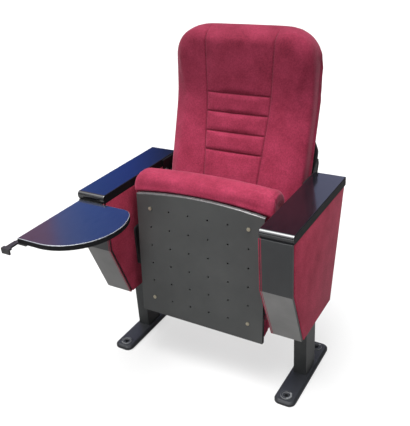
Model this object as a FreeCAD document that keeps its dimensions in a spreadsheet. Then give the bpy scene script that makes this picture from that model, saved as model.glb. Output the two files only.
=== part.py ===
import FreeCAD, Part
import math
import os
import re
import Sketcher
from FreeCAD import Placement, Rotation, Vector
from types import SimpleNamespace

# Floor-mounted conference chair with a tip-up seat and a folding writing tablet.
# Millimetres, +Z up. The chair faces -Y, +X is the sitter's left, and the origin is on the floor
# at the centre of the four floor holes. The seat is modelled tipped up and the tablet set out.

DIMENSIONS = {
    # arm boxes, a left and a right one
    "arm_top": 590,
    "armrest_width": 95,
    "armrest_thick": 25,
    "armrest_front": 190,
    "armrest_rear": 198,
    "armrest_nose": 11,
    "armrest_edge": 2,
    "armrest_tuck": 5,
    "panel_thick": 9,
    "board_thick": 9,
    "board_gap": 0.5,
    "fascia_reveal": 2.5,
    "bend_height": 410,
    "box_bottom": 225,
    "toe_front": 122,
    "heel_rear": 100,
    "crown_rear": 188,
    "rib_thick": 15,
    "rib_lift": 30,
    "rib_drop": 65,
    "rib_reach": 95,
    # posts, feet and carrier plates
    "post_width": 40,
    "post_depth": 70,
    "post_front": 19,
    "post_wall": 2.5,
    "carrier_thick": 5,
    "carrier_width": 60,
    "carrier_front": 130,
    "carrier_rear": 150,
    "carrier_screw_side": 12,
    "carrier_screw_end": 20,
    "foot_length": 303,
    "foot_width": 65,
    "foot_thick": 14,
    "foot_slope": 6,
    "foot_bolt_pitch": 245,
    "foot_bolt_dia": 12,
    "foot_corner": 20,
    "foot_boss_dia": 34,
    "foot_boss_bore": 23,
    "foot_boss_rise": 3,
    # wood screws and machine bolts
    "screw_dia": 4,
    "screw_head_dia": 9,
    "screw_head_thick": 2.5,
    "screw_bite": 12,
    "screw_clear": 0.1,
    "bolt_dia": 8,
    "bolt_head_across": 15,
    "bolt_head_thick": 5,
    "bolt_clear": 0.2,
    "spacer_dia": 16,
    # seat hinge
    "pivot_front": 10,
    "pivot_height": 366,
    "fold_lean": 4.66,
    "seat_swing": 88,
    "pin_dia": 16,
    "pin_clear": 0.05,
    "pin_flange_dia": 28,
    "pin_flange_thick": 2,
    "pin_end_gap": 0.5,
    "bush_wall": 4,
    "bush_flange_dia": 32,
    "bush_flange_thick": 3,
    "bracket_thick": 6,
    "bracket_front": 62,
    "bracket_rear": 50,
    "bracket_below": 68,
    "bracket_above": 68,
    "bracket_round": 14,
    "bracket_bolt_rise": 54,
    "bracket_bolt_front": 2,
    "bracket_bolt_rear": 38,
    "hinge_plate_thick": 5,
    "hinge_plate_gap": 3,
    "hinge_plate_rear": 130,
    "hinge_plate_front": 112,
    "hinge_plate_skirt": 14,
    "hinge_boss": 20,
    "stop_radius": 45,
    "stop_angle": 136,
    "stop_dia": 10,
    "stop_reach": 16,
    "buffer_dia": 16,
    "buffer_length": 14,
    "stop_gap": 0.3,
    "spring_wire": 2.5,
    "spring_radius": 12,
    "spring_pitch": 2.8,
    "spring_turns": 4,
    # seat
    "seat_width": 418,
    "hinge_space": 33.5,
    "seat_drop": 84,
    "seat_rear": 209,
    "seat_front": 204,
    "seat_arch": 16,
    "seat_panel_thick": 12,
    "seat_panel_round": 4,
    "hole_dia": 6,
    "hole_side": 47,
    "hole_rear": 56,
    "hole_front": 41,
    "panel_screw_head": 11,
    "seat_board_thick": 12,
    "seat_board_inset": 12,
    "bar_width": 40,
    "bar_thick": 6,
    "bar_rear": 95,
    "bar_front": 80,
    "cushion_side": 2,
    "nose_overhang": 23,
    "nose_rear": 126,
    "nose_step": 1,
    "cushion_gap": 0.3,
    "cushion_rear": 4,
    "cushion_hem": 2,
    "cushion_edge_round": 24,
    "cushion_crown_round": 300,
    "cushion_top_rear": 12,
    "cushion_top_mid": 36,
    "cushion_top_front": 25,
    "cushion_nose": 262,
    "cushion_nose_low": 76,
    "cushion_nose_round": 50,
    "cushion_draw": 9,
    # back
    "back_side_step": 0.5,
    "back_bottom": 420,
    "back_top": 993,
    "back_foot_y": 128.8173,
    "back_bend_height": 781,
    "back_low_lean": 18,
    "back_high_lean": 5.6,
    "back_thick": 78,
    "back_corner": 95,
    "back_round": 26,
    "back_bend_round": 420,
    "back_crown": 5,
    "back_heel_side": 16,
    "back_heel_over": 4,
    "back_draw": 20,
    "seam_half": 100,
    "seam_width": 12,
    "seam_depth": 4,
    "channel_low": 637,
    "channel_step": 55.5,
    "channel_count": 4,
    "shell_thick": 10,
    "shell_gap": 0.3,
    "shell_bottom": 440,
    "shell_top": 965,
    "shell_high_width": 400,
    "shell_shoulder": 640,
    "shell_shoulder_rise": 70,
    "shell_round": 60,
    "shell_low_round": 12,
    "shell_shoulder_round": 30,
    "back_bracket_thick": 4,
    "back_bracket_front": 114,
    "back_bracket_gap": 1,
    "back_bracket_margin": 28,
    "back_bracket_tuck": 3,
    "back_bracket_set_back": 62,
    "back_bracket_ear": 30,
    "back_flange_width": 50,
    "back_flange_height": 110,
    "back_flange_thick": 5,
    "back_flange_lift": 20,
    "back_bolt_y": 128,
    "back_bolt_head": 2,
    "back_bolt_drop": 19,
    "back_bolt_pitch": 38,
    "anchor_thick": 4,
    "anchor_half": 20,
    "anchor_margin": 12,
    # writing tablet and its slanted hinge
    "tablet_below": 19,
    "tablet_thick": 15,
    "tablet_overhang": 32,
    "tablet_flat": 69,
    "tablet_rear": 200,
    "tablet_length": 248,
    "tablet_round_share": 0.597,
    "tablet_corner": 48,
    "tablet_edge": 2,
    "arm_strap_thick": 5,
    "arm_strap_step": 16,
    "arm_strap_width": 42,
    "arm_strap_end": 8,
    "neck_step": 3,
    "neck_width": 16,
    "neck_length": 38,
    "tab_step": 6,
    "tab_width": 28,
    "tab_length": 12,
    "tab_drop": 11,
    "tablet_screw_in": 14,
    "tablet_screw_first": 40,
    "tablet_screw_step": 90,
    "axis_step": 8,
    "axis_drop": 21,
    "axis_front": 16,
    "knuckle_dia": 20,
    "knuckle_length": 18,
    "block_boss_length": 26,
    "block_plate_thick": 5,
    "block_plate_width": 50,
    "block_plate_height": 57,
    "block_plate_drop": 42,
    "block_plate_side": 4,
    "block_screw_low": 8,
    "block_screw_high": 9,
    "block_stem_size": 14,
    "hinge_pin_dia": 10,
    "hinge_pin_clear": 0.05,
    "hinge_pin_head_dia": 16,
    "hinge_pin_head_thick": 4,
    "friction_washer_thick": 1.5,
    "hinge_nut_across": 14,
    "hinge_nut_thick": 5,
    "web_width": 10,
    "web_lap": 1,
}

# Sizes that follow from the driving ones, so that neighbours stay together when one is changed
DERIVED = {
    "arm_pitch": "seat_width + 2 * hinge_space + armrest_width",
    "board_top": "arm_top - armrest_thick",
    "rib_low": "box_bottom + rib_lift",
    "rib_high": "board_top - rib_drop",
    "hole_pitch_x": "(seat_width - 2 * hole_side) / 5",
    "hole_pitch_u": "(seat_rear - hole_rear + seat_front - seat_arch - hole_front) / 5",
    "hole_centre_u": "(seat_front - seat_arch - hole_front - seat_rear + hole_rear) / 2",
    "shell_width": "seat_width + 2 * (hinge_space - back_bracket_gap - back_bracket_thick)",
    "back_width": "shell_width - 2 * back_side_step",
    "back_bend_y": "back_foot_y + (back_bend_height - board_top) * tan(back_low_lean * 1 deg)",
    "back_bolt_high": "board_top - back_bolt_drop",
    "back_bolt_low": "back_bolt_high - back_bolt_pitch",
    "back_heel_rise": "back_bolt_high + back_heel_over - back_bottom",
    "back_bracket_low": "back_bolt_low - back_bracket_margin",
    "back_bracket_brow": "arm_top - back_bracket_tuck",
    "back_bracket_peak": "arm_top + back_bracket_ear",
    "back_flange_low": "back_bracket_low + back_flange_lift",
    "tablet_top": "arm_top - tablet_below",
    "tablet_front": "tablet_rear + tablet_length",
    "tablet_round": "tablet_length * tablet_round_share",
    "tablet_outer": "arm_pitch / 2 + tablet_overhang",
    "tablet_centre": "tablet_outer - tablet_flat",
    "arm_strap_outer": "tablet_outer + arm_strap_step",
    "neck_outer": "arm_strap_outer + neck_step",
    "tab_outer": "neck_outer + tab_step",
    "axis_x": "tablet_outer + axis_step",
    "axis_height": "tablet_top - tablet_thick - arm_strap_thick - axis_drop",
    "block_plate_low": "axis_height - block_plate_drop",
}

SIDES = {"right": 1, "left": -1}
ROOT_TWO = math.sqrt(2)

doc = FreeCAD.newDocument("conference_chair")
sheet = doc.addObject("Spreadsheet::Sheet", "dims")
for row, (alias, size) in enumerate(DIMENSIONS.items(), start=1):
    sheet.set(f"A{row}", alias)
    sheet.set(f"B{row}", str(size))
    sheet.setAlias(f"B{row}", alias)
for row, (alias, formula) in enumerate(DERIVED.items(), start=len(DIMENSIONS) + 1):
    sheet.set(f"A{row}", alias)
    sheet.set(f"B{row}", "=" + formula)
    sheet.setAlias(f"B{row}", alias)
doc.recompute()
d = SimpleNamespace(**{alias: sheet.get(alias) for alias in (*DIMENSIONS, *DERIVED)})

nodes = {}


def sized(text):
    """An expression in which every dimension's name points at its cell."""
    def cell(match):
        word = match.group(0)
        return "dims." + word if hasattr(d, word) else word
    return re.sub(r"[a-z][a-z_]*", cell, str(text))


def bind(thing, prop, text):
    thing.setExpression(prop, sized(text))


def place(thing, x, y, z):
    """Bind the place of an object to three expressions."""
    for axis, text in zip("xyz", (x, y, z)):
        bind(thing, "Placement.Base." + axis, text)


def block(name, size, corner):
    """A box from its lowest corner."""
    box = doc.addObject("Part::Box", name)
    for prop, text in zip(("Length", "Width", "Height"), size):
        bind(box, prop, text)
    place(box, *corner)
    return box


def rod(name, dia, length, start, along):
    """A cylinder from the centre of its first end."""
    cylinder = doc.addObject("Part::Cylinder", name)
    bind(cylinder, "Radius", f"({dia}) / 2")
    bind(cylinder, "Height", length)
    cylinder.Placement = Placement(Vector(), Rotation(Vector(0, 0, 1), Vector(*along)))
    place(cylinder, *start)
    return cylinder


def hexagon(name, across, length, start, along):
    """A hexagonal prism from the centre of its first end, sized across its flats."""
    prism = doc.addObject("Part::Prism", name)
    prism.Polygon = 6
    bind(prism, "Circumradius", f"({across}) / sqrt(3)")
    bind(prism, "Height", length)
    prism.Placement = Placement(Vector(), Rotation(Vector(0, 0, 1), Vector(*along)))
    place(prism, *start)
    return prism


def joined(name, pieces):
    fuse = doc.addObject("Part::MultiFuse", name)
    fuse.Shapes = list(pieces)
    return fuse


def cut(name, base, tools):
    tools = list(tools)
    carved = doc.addObject("Part::Cut", name)
    carved.Base = base
    carved.Tool = tools[0] if len(tools) == 1 else joined(name + "_tools", tools)
    return carved


def node(name, thing):
    """Name a finished sub-part: its label is its file's name."""
    thing.Label = name
    nodes[name] = thing
    return thing


def new_body(name):
    return doc.addObject("PartDesign::Body", name)


def new_sketch(body, name, role):
    sketch = body.newObject("Sketcher::SketchObject", name)
    plane = [item for item in body.Origin.OriginFeatures if item.Role == role][0]
    sketch.AttachmentSupport = [(plane, "")]
    sketch.MapMode = "FlatFace"
    return sketch


def pin_point(sketch, geometry, end, across, up):
    """Hold a point of a sketch at two expressions from the origin."""
    spot = sketch.getPoint(geometry, end)
    for kind, text, now in (("DistanceX", across, spot.x), ("DistanceY", up, spot.y)):
        number = sketch.addConstraint(Sketcher.Constraint(kind, -1, 1, geometry, end, now))
        bind(sketch, f"Constraints[{number}]", text)


def draw_polygon(sketch, points):
    """A closed outline of straight lines through points given as pairs of expressions."""
    count = len(points)
    start = [Vector(100 * math.cos(2 * math.pi * i / count), 100 * math.sin(2 * math.pi * i / count))
             for i in range(count)]
    for i in range(count):
        sketch.addGeometry(Part.LineSegment(start[i], start[(i + 1) % count]))
    for i in range(count):
        sketch.addConstraint(Sketcher.Constraint("Coincident", i, 2, (i + 1) % count, 1))
    for i, (across, up) in enumerate(points):
        pin_point(sketch, i, 1, across, up)


def draw_circle(sketch, dia, across, up):
    number = sketch.addGeometry(Part.Circle(Vector(0, 0), Vector(0, 0, 1), 5))
    pin_point(sketch, number, 3, across, up)
    radius = sketch.addConstraint(Sketcher.Constraint("Radius", number, 5))
    bind(sketch, f"Constraints[{radius}]", f"({dia}) / 2")


def pad(body, sketch, length, backwards=False):
    feature = body.newObject("PartDesign::Pad", sketch.Name + "_pad")
    feature.Profile = sketch
    bind(feature, "Length", length)
    feature.Reversed = backwards
    doc.recompute()
    return feature


def pocket_through(body, sketch, backwards):
    """A pocket through everything, which has to take some volume away."""
    before = body.Shape.Volume
    feature = body.newObject("PartDesign::Pocket", sketch.Name + "_pocket")
    feature.Profile = sketch
    feature.Type = 1
    feature.Reversed = backwards
    doc.recompute()
    if body.Shape.Volume >= before:
        raise RuntimeError(sketch.Name + " cuts nothing")
    return feature


def dress(body, kind, size, chosen):
    """Fillet or chamfer the edges of a body that pass a test on their centre and direction."""
    base = body.Tip
    names = []
    for number, edge in enumerate(base.Shape.Edges, start=1):
        if chosen(edge):
            names.append(f"Edge{number}")
    feature = body.newObject("PartDesign::" + kind, body.Name + "_" + kind.lower())
    feature.Base = (base, names)
    bind(feature, "Radius" if kind == "Fillet" else "Size", size)
    doc.recompute()
    return feature


def prism_x(name, points, length, x, backwards=False):
    """A body with a polygon in the upright front-to-back plane, padded along X."""
    body = new_body(name)
    outline = new_sketch(body, name + "_outline", "YZ_Plane")
    draw_polygon(outline, points)
    pad(body, outline, length, backwards)
    place(body, x, "0", "0")
    doc.recompute()
    return body


def near(value, target):
    return abs(value - target) < 0.01


def is_straight_along(edge, axis):
    """True for a straight edge along X, Y or Z, given as 0, 1 or 2."""
    if len(edge.Vertexes) < 2:
        return False
    run = edge.Vertexes[1].Point - edge.Vertexes[0].Point
    return abs(abs(run[axis]) - run.Length) < 1e-6


# Places that several sub-parts share, as expressions
FRONT_LEAN = "((armrest_front - toe_front) / (bend_height - box_bottom))"
FRONT_WALL = f"(board_thick * sqrt(1 + {FRONT_LEAN}^2))"
REAR_LEAN = "((crown_rear - heel_rear) / (board_top - box_bottom))"
REAR_WALL = f"(board_thick * sqrt(1 + {REAR_LEAN}^2))"
BOX_INSIDE = "(armrest_width - 2 * panel_thick - 2 * board_gap)"
INNER_FACE = "(arm_pitch / 2 - armrest_width / 2)"
BRACKET_FACE = f"({INNER_FACE} - bracket_thick)"
BUSH_DIA = "(pin_dia + 2 * pin_clear + 2 * bush_wall)"
POST_INNER = "(arm_pitch / 2 - post_width / 2)"
HINGE_INNER = "(seat_width / 2 + hinge_plate_gap)"
HINGE_OUTER = "(seat_width / 2 + hinge_plate_gap + hinge_plate_thick)"

ARMREST_SCREWS = [("-carrier_front + carrier_screw_end", -1), ("-carrier_front + carrier_screw_end", 1),
                  ("carrier_rear - carrier_screw_end", -1), ("carrier_rear - carrier_screw_end", 1)]
BRACKET_BOLTS = [(y, rise) for y in ("bracket_bolt_front", "bracket_bolt_rear") for rise in (-1, 1)]
BACK_BOLTS = ["back_bolt_low", "back_bolt_high"]


def make_foot(side, sign):
    """A cast foot with round corners, a sloping rim and a raised ring round each floor hole."""
    body = new_body(side + "_foot_body")
    outline = new_sketch(body, side + "_foot_outline", "XY_Plane")
    draw_polygon(outline, [(f"{x} * foot_width / 2", f"{y} * foot_length / 2")
                           for x, y in ((1, 1), (-1, 1), (-1, -1), (1, -1))])
    pad(body, outline, "foot_thick")
    dress(body, "Fillet", "foot_corner", lambda edge: is_straight_along(edge, 2))
    dress(body, "Chamfer", "foot_slope", lambda edge: near(edge.BoundBox.ZMin, d.foot_thick))
    rings = new_sketch(body, side + "_foot_rings", "XY_Plane")
    holes = new_sketch(body, side + "_foot_holes", "XY_Plane")
    for end in (-1, 1):
        centre = f"{end} * foot_bolt_pitch / 2"
        draw_circle(rings, "foot_boss_dia", "0", centre)
        draw_circle(rings, "foot_boss_bore", "0", centre)
        draw_circle(holes, "foot_bolt_dia", "0", centre)
    pad(body, rings, "foot_thick + foot_boss_rise")
    pocket_through(body, holes, True)
    place(body, f"{sign} * arm_pitch / 2", "0", "0")
    node(side + "_foot", body)


def bracket_bolt_holes(name, sign, start, length):
    """Clearance holes along X for the seat bracket's bolts."""
    tools = []
    for number, (y, rise) in enumerate(BRACKET_BOLTS):
        height = f"pivot_height + {rise} * bracket_bolt_rise"
        tools.append(rod(f"{name}_{number}", "bolt_dia + 2 * bolt_clear", length,
                         (f"{sign} * {start}", y, height), (sign, 0, 0)))
    return tools


def make_post(side, sign):
    """A rectangular steel tube from the foot to the carrier plate."""
    length = "board_top - carrier_thick - foot_thick"
    outer = block(side + "_post_outer", ("post_width", "post_depth", length),
                  (f"{sign} * arm_pitch / 2 - post_width / 2", "-post_front", "foot_thick"))
    bore = block(side + "_post_bore", ("post_width - 2 * post_wall", "post_depth - 2 * post_wall", length),
                 (f"{sign} * arm_pitch / 2 - post_width / 2 + post_wall", "-post_front + post_wall",
                  "foot_thick"))
    tools = [bore] + bracket_bolt_holes(side + "_post_hole", sign, POST_INNER, "post_wall")
    node(side + "_post", cut(side + "_post_tube", outer, tools))


def armrest_screw_x(sign, across):
    return f"{sign} * arm_pitch / 2 + {across} * (carrier_width / 2 - carrier_screw_side)"


def make_carrier(side, sign):
    """A flat steel plate on the post that carries the armrest."""
    plate = block(side + "_carrier_plate", ("carrier_width", "carrier_front + carrier_rear", "carrier_thick"),
                  (f"{sign} * arm_pitch / 2 - carrier_width / 2", "-carrier_front",
                   "board_top - carrier_thick"))
    tools = []
    for number, (y, across) in enumerate(ARMREST_SCREWS):
        tools.append(rod(f"{side}_carrier_hole_{number}", "screw_dia + 2 * screw_clear", "carrier_thick",
                         (armrest_screw_x(sign, across), y, "board_top - carrier_thick"), (0, 0, 1)))
    node(side + "_arm_carrier", cut(side + "_carrier_cut", plate, tools))


def make_armrest(side, sign):
    """A board with a rounded nose that tucks in below, and blind holes for its screws."""
    points = [("-armrest_front + armrest_tuck", "board_top"), ("armrest_rear", "board_top"),
              ("armrest_rear", "arm_top"), ("-armrest_front", "arm_top"),
              ("-armrest_front", "arm_top - armrest_nose * 1.1")]
    body = prism_x(side + "_armrest_body", points, "armrest_width",
                   f"{sign} * arm_pitch / 2 - armrest_width / 2")
    dress(body, "Fillet", "armrest_nose",
          lambda edge: near(edge.BoundBox.ZMin, d.arm_top) and near(edge.BoundBox.YMax, -d.armrest_front))
    soft = dress(body, "Fillet", "armrest_edge",
                 lambda edge: near(edge.BoundBox.ZMin, d.arm_top) and is_straight_along(edge, 1))
    soft.Label = side + "_armrest_soft_edges"
    tools = []
    for number, (y, across) in enumerate(ARMREST_SCREWS):
        tools.append(rod(f"{side}_armrest_hole_{number}", "screw_dia + 2 * screw_clear",
                         "screw_bite + screw_clear", (armrest_screw_x(sign, across), y, "board_top"),
                         (0, 0, 1)))
    node(side + "_armrest", cut(side + "_armrest_cut", body, tools))


def make_armrest_screws():
    screws = []
    for side, sign in SIDES.items():
        for number, (y, across) in enumerate(ARMREST_SCREWS):
            x = armrest_screw_x(sign, across)
            low = "board_top - carrier_thick - screw_head_thick"
            name = f"{side}_armrest_screw_{number}"
            shank = rod(name + "_shank", "screw_dia", "screw_head_thick + carrier_thick + screw_bite",
                        (x, y, low), (0, 0, 1))
            head = rod(name + "_head", "screw_head_dia", "screw_head_thick", (x, y, low), (0, 0, 1))
            screws.append(joined(name, [shank, head]))
    node("armrest_screws", joined("armrest_screw_group", screws))


def front_line(inner):
    """The front of an arm box from its top down: the outer or the inner face of the folded fascia."""
    if not inner:
        return [("-armrest_front", "board_top"), ("-armrest_front", "bend_height"),
                ("-toe_front", "box_bottom")]
    bend = f"box_bottom + (armrest_front - toe_front + {FRONT_WALL} - board_thick) / {FRONT_LEAN}"
    return [("-armrest_front + board_thick", "board_top"), ("-armrest_front + board_thick", bend),
            (f"-toe_front + {FRONT_WALL}", "box_bottom")]


def make_panels(side, sign):
    """The two upholstered side panels of an arm box, which butt against the back of the fascia."""
    points = front_line(True) + [("heel_rear", "box_bottom"), ("crown_rear", "board_top")]
    outer = prism_x(side + "_outer_panel_body", points, "panel_thick",
                    f"{sign} * (arm_pitch / 2 + armrest_width / 2)", sign > 0)
    node(side + "_outer_panel", outer)
    inner = prism_x(side + "_inner_panel_body", points, "panel_thick", f"{sign} * {INNER_FACE}", sign < 0)
    tools = bracket_bolt_holes(side + "_inner_panel_hole", sign, INNER_FACE, "panel_thick")
    for number, height in enumerate(BACK_BOLTS):
        tools.append(rod(f"{side}_inner_panel_back_hole_{number}", "bolt_dia + 2 * bolt_clear", "panel_thick",
                         (f"{sign} * {INNER_FACE}", "back_bolt_y", height), (sign, 0, 0)))
    node(side + "_inner_panel", cut(side + "_inner_panel_cut", inner, tools))


def block_screw_places():
    """Three screws of the tablet's hinge block, as expressions across and up."""
    left = "-axis_x - block_plate_side + block_screw_low"
    right = "-axis_x - block_plate_side + block_plate_width - block_screw_high"
    low = "block_plate_low + block_screw_low"
    high = "block_plate_low + block_plate_height - block_screw_high"
    return [(left, low), (right, low), (right, high)]


def make_fascia(side, sign):
    """The folded front board, upright above and sloping back below, almost as wide as the armrest."""
    width = "(armrest_width - 2 * fascia_reveal)"
    points = front_line(False) + front_line(True)[::-1]
    body = prism_x(side + "_fascia_body", points, width, f"{sign} * arm_pitch / 2 - {width} / 2")
    if sign > 0:
        node(side + "_fascia", body)
        return
    tools = []
    for number, (x, z) in enumerate(block_screw_places()):
        tools.append(rod(f"fascia_hole_{number}", "screw_dia + 2 * screw_clear", "board_thick",
                         (x, "-armrest_front", z), (0, 1, 0)))
    node(side + "_fascia", cut(side + "_fascia_cut", body, tools))


def post_clearance(name, sign, low, height):
    return block(name, ("post_width + 2 * board_gap", "post_depth + 2 * board_gap", height),
                 (f"{sign} * arm_pitch / 2 - post_width / 2 - board_gap", "-post_front - board_gap", low))


def make_covers(side, sign):
    """The rear cover, the bottom cover and the inner ribs of an arm box."""
    x = f"{sign} * arm_pitch / 2 - {BOX_INSIDE} / 2"
    rear = prism_x(side + "_rear_cover_body",
                   [("crown_rear", "board_top"), ("heel_rear", "box_bottom"),
                    (f"heel_rear - {REAR_WALL}", "box_bottom"), (f"crown_rear - {REAR_WALL}", "board_top")],
                   BOX_INSIDE, x)
    node(side + "_rear_cover", rear)
    front_edge = f"-toe_front + {FRONT_WALL} + board_gap"
    depth = f"heel_rear - {REAR_WALL} - board_gap - ({front_edge})"
    floor = block(side + "_bottom_board", (BOX_INSIDE, depth, "board_thick"), (x, front_edge, "box_bottom"))
    opening = post_clearance(side + "_bottom_opening", sign, "box_bottom", "board_thick")
    node(side + "_bottom_cover", cut(side + "_bottom_cut", floor, [opening]))
    ribs = []
    for name, low in (("low", "rib_low"), ("high", "rib_high")):
        board = block(f"{side}_rib_{name}_board", (BOX_INSIDE, "2 * rib_reach", "rib_thick"),
                      (x, "-rib_reach", low))
        hole = post_clearance(f"{side}_rib_{name}_opening", sign, low, "rib_thick")
        ribs.append(cut(f"{side}_rib_{name}", board, [hole]))
    node(side + "_ribs", joined(side + "_rib_pair", ribs))


def make_seat_bracket(side, sign):
    """The fixed steel plate of the seat hinge, with its bush."""
    points = [("-pivot_front - bracket_front", "pivot_height - bracket_below"),
              ("bracket_rear", "pivot_height - bracket_below"),
              ("bracket_rear", "pivot_height + bracket_above"),
              ("-pivot_front - bracket_front", "pivot_height + bracket_above")]
    body = prism_x(side + "_seat_bracket_body", points, "bracket_thick", f"{sign} * {BRACKET_FACE}", sign < 0)
    dress(body, "Fillet", "bracket_round", lambda edge: is_straight_along(edge, 0))
    pivot = ("-pivot_front", "pivot_height")
    bore = rod(side + "_seat_bracket_bore", f"{BUSH_DIA} + 2 * pin_clear", "bracket_thick",
               (f"{sign} * {BRACKET_FACE}", *pivot), (sign, 0, 0))
    tools = [bore] + bracket_bolt_holes(side + "_seat_bracket_hole", sign, BRACKET_FACE, "bracket_thick")
    node(side + "_seat_bracket", cut(side + "_seat_bracket_cut", body, tools))
    flange_face = f"{sign} * ({BRACKET_FACE} - bush_flange_thick)"
    sleeve = rod(side + "_bush_sleeve", BUSH_DIA, "bush_flange_thick + bracket_thick",
                 (flange_face, *pivot), (sign, 0, 0))
    flange = rod(side + "_bush_flange", "bush_flange_dia", "bush_flange_thick",
                 (flange_face, *pivot), (sign, 0, 0))
    hole = rod(side + "_bush_hole", "pin_dia + 2 * pin_clear", "bush_flange_thick + bracket_thick",
               (flange_face, *pivot), (sign, 0, 0))
    node(side + "_seat_bush", cut(side + "_bush_cut", joined(side + "_bush_solid", [sleeve, flange]), [hole]))


def make_bracket_fasteners():
    """Hex bolts of the seat brackets, with a spacer tube between the panel and the post."""
    bolts = []
    spacers = []
    for side, sign in SIDES.items():
        head_face = f"{sign} * ({BRACKET_FACE} - bolt_head_thick)"
        panel_back = f"({INNER_FACE} + panel_thick)"
        for number, (y, rise) in enumerate(BRACKET_BOLTS):
            height = f"pivot_height + {rise} * bracket_bolt_rise"
            name = f"{side}_bracket_bolt_{number}"
            head = hexagon(name + "_head", "bolt_head_across", "bolt_head_thick",
                           (head_face, y, height), (sign, 0, 0))
            shank = rod(name + "_shank", "bolt_dia",
                        f"{POST_INNER} + post_wall - {BRACKET_FACE} + bolt_head_thick",
                        (head_face, y, height), (sign, 0, 0))
            bolts.append(joined(name, [head, shank]))
            name = f"{side}_bracket_spacer_{number}"
            tube = rod(name + "_tube", "spacer_dia", f"{POST_INNER} - {panel_back}",
                       (f"{sign} * {panel_back}", y, height), (sign, 0, 0))
            bore = rod(name + "_bore", "bolt_dia + 2 * bolt_clear", f"{POST_INNER} - {panel_back}",
                       (f"{sign} * {panel_back}", y, height), (sign, 0, 0))
            spacers.append(cut(name, tube, [bore]))
    node("seat_bracket_bolts", joined("bracket_bolt_group", bolts))
    node("seat_bracket_spacers", joined("bracket_spacer_group", spacers))


def make_buffers():
    """Rubber buffers on the brackets that meet the stop pegs at both ends of the seat's travel."""
    apart = "2 * asin((stop_dia / 2 + buffer_dia / 2 + stop_gap) / (2 * stop_radius))"
    buffers = []
    for side, sign in SIDES.items():
        for end, angle in (("up", f"stop_angle * 1 deg - {apart}"),
                           ("down", f"(stop_angle + seat_swing) * 1 deg + {apart}")):
            buffers.append(rod(f"{side}_buffer_{end}", "buffer_dia", "buffer_length",
                               (f"{sign} * ({BRACKET_FACE} - buffer_length)",
                                f"-pivot_front + stop_radius * cos({angle})",
                                f"pivot_height + stop_radius * sin({angle})"), (sign, 0, 0)))
    node("seat_buffers", joined("buffer_group", buffers))


def coil_wire(first, radius, pitch, turns, sign):
    """The centre line of a coil about the seat's pivot, in quarter turns."""
    def point(quarters):
        angle = quarters * math.pi / 2
        return Vector(first + sign * pitch * quarters / 4,
                      -d.pivot_front + radius * math.cos(angle), d.pivot_height + radius * math.sin(angle))
    arcs = [Part.Arc(point(i), point(i + 0.5), point(i + 1)).toShape() for i in range(4 * turns)]
    return Part.Wire(arcs)


def make_return_spring(side, sign):
    """A torsion coil round the pivot pin, seated against the bush."""
    bracket_face = d.arm_pitch / 2 - d.armrest_width / 2 - d.bracket_thick
    seat_face = bracket_face - d.bush_flange_thick - d.spring_wire / 2 - d.stop_gap
    line = coil_wire(sign * seat_face, d.spring_radius, d.spring_pitch, d.spring_turns, -sign)
    first = line.Edges[0]
    start = first.valueAt(first.FirstParameter)
    section = Part.Wire([Part.makeCircle(d.spring_wire / 2, start, first.tangentAt(first.FirstParameter))])
    spring = doc.addObject("Part::Feature", side + "_return_spring_coil")
    spring.Shape = line.makePipeShell([section], True, False)
    node(side + "_return_spring", spring)


def folded(thing, x="0"):
    """Tip a seat piece, modelled level about the pivot, up into its resting place."""
    thing.Placement = Placement(Vector(), Rotation(Vector(1, 0, 0), -(90 + d.fold_lean)))
    place(thing, x, "-pivot_front", "pivot_height")
    return thing


def make_pivot_pin(side, sign):
    """The seat's pivot pin, with the flange that is welded to the hinge plate."""
    pivot = ("-pivot_front", "pivot_height")
    shank = rod(side + "_pin_shank", "pin_dia", f"{INNER_FACE} - pin_end_gap - {HINGE_OUTER}",
                (f"{sign} * {HINGE_OUTER}", *pivot), (sign, 0, 0))
    flange = rod(side + "_pin_flange", "pin_flange_dia", "pin_flange_thick",
                 (f"{sign} * {HINGE_OUTER}", *pivot), (sign, 0, 0))
    node(side + "_pivot_pin", joined(side + "_pin_solid", [shank, flange]))


def make_hinge_plate(side, sign):
    """The moving plate of the seat hinge, with its stop peg; the front of the seat is -Y here."""
    base = "-seat_drop + seat_panel_thick"
    brow = f"{base} + hinge_plate_skirt"
    points = [("hinge_plate_rear", base), ("hinge_plate_rear", brow), ("hinge_boss", "hinge_boss"),
              ("-hinge_boss", "hinge_boss"), ("-hinge_plate_front", brow), ("-hinge_plate_front", base)]
    body = new_body(side + "_hinge_plate_body")
    outline = new_sketch(body, side + "_hinge_plate_outline", "YZ_Plane")
    draw_polygon(outline, points)
    pad(body, outline, "hinge_plate_thick", sign < 0)
    peg = new_sketch(body, side + "_stop_peg", "YZ_Plane")
    angle = "(stop_angle + 90 + fold_lean) * 1 deg"
    draw_circle(peg, "stop_dia", f"stop_radius * cos({angle})", f"stop_radius * sin({angle})")
    pad(body, peg, "hinge_plate_thick + stop_reach", sign < 0)
    node(side + "_hinge_plate", folded(body, f"{sign} * {HINGE_INNER}"))


def panel_hole_places():
    """The six by six grid of the seat panel, as (column, row, is a corner)."""
    for column in range(6):
        for line in range(6):
            yield column, line, column in (0, 5) and line in (0, 5)


def grid_place(column, line):
    return f"({column} - 2.5) * hole_pitch_x", f"-hole_centre_u - ({line} - 2.5) * hole_pitch_u"


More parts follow.
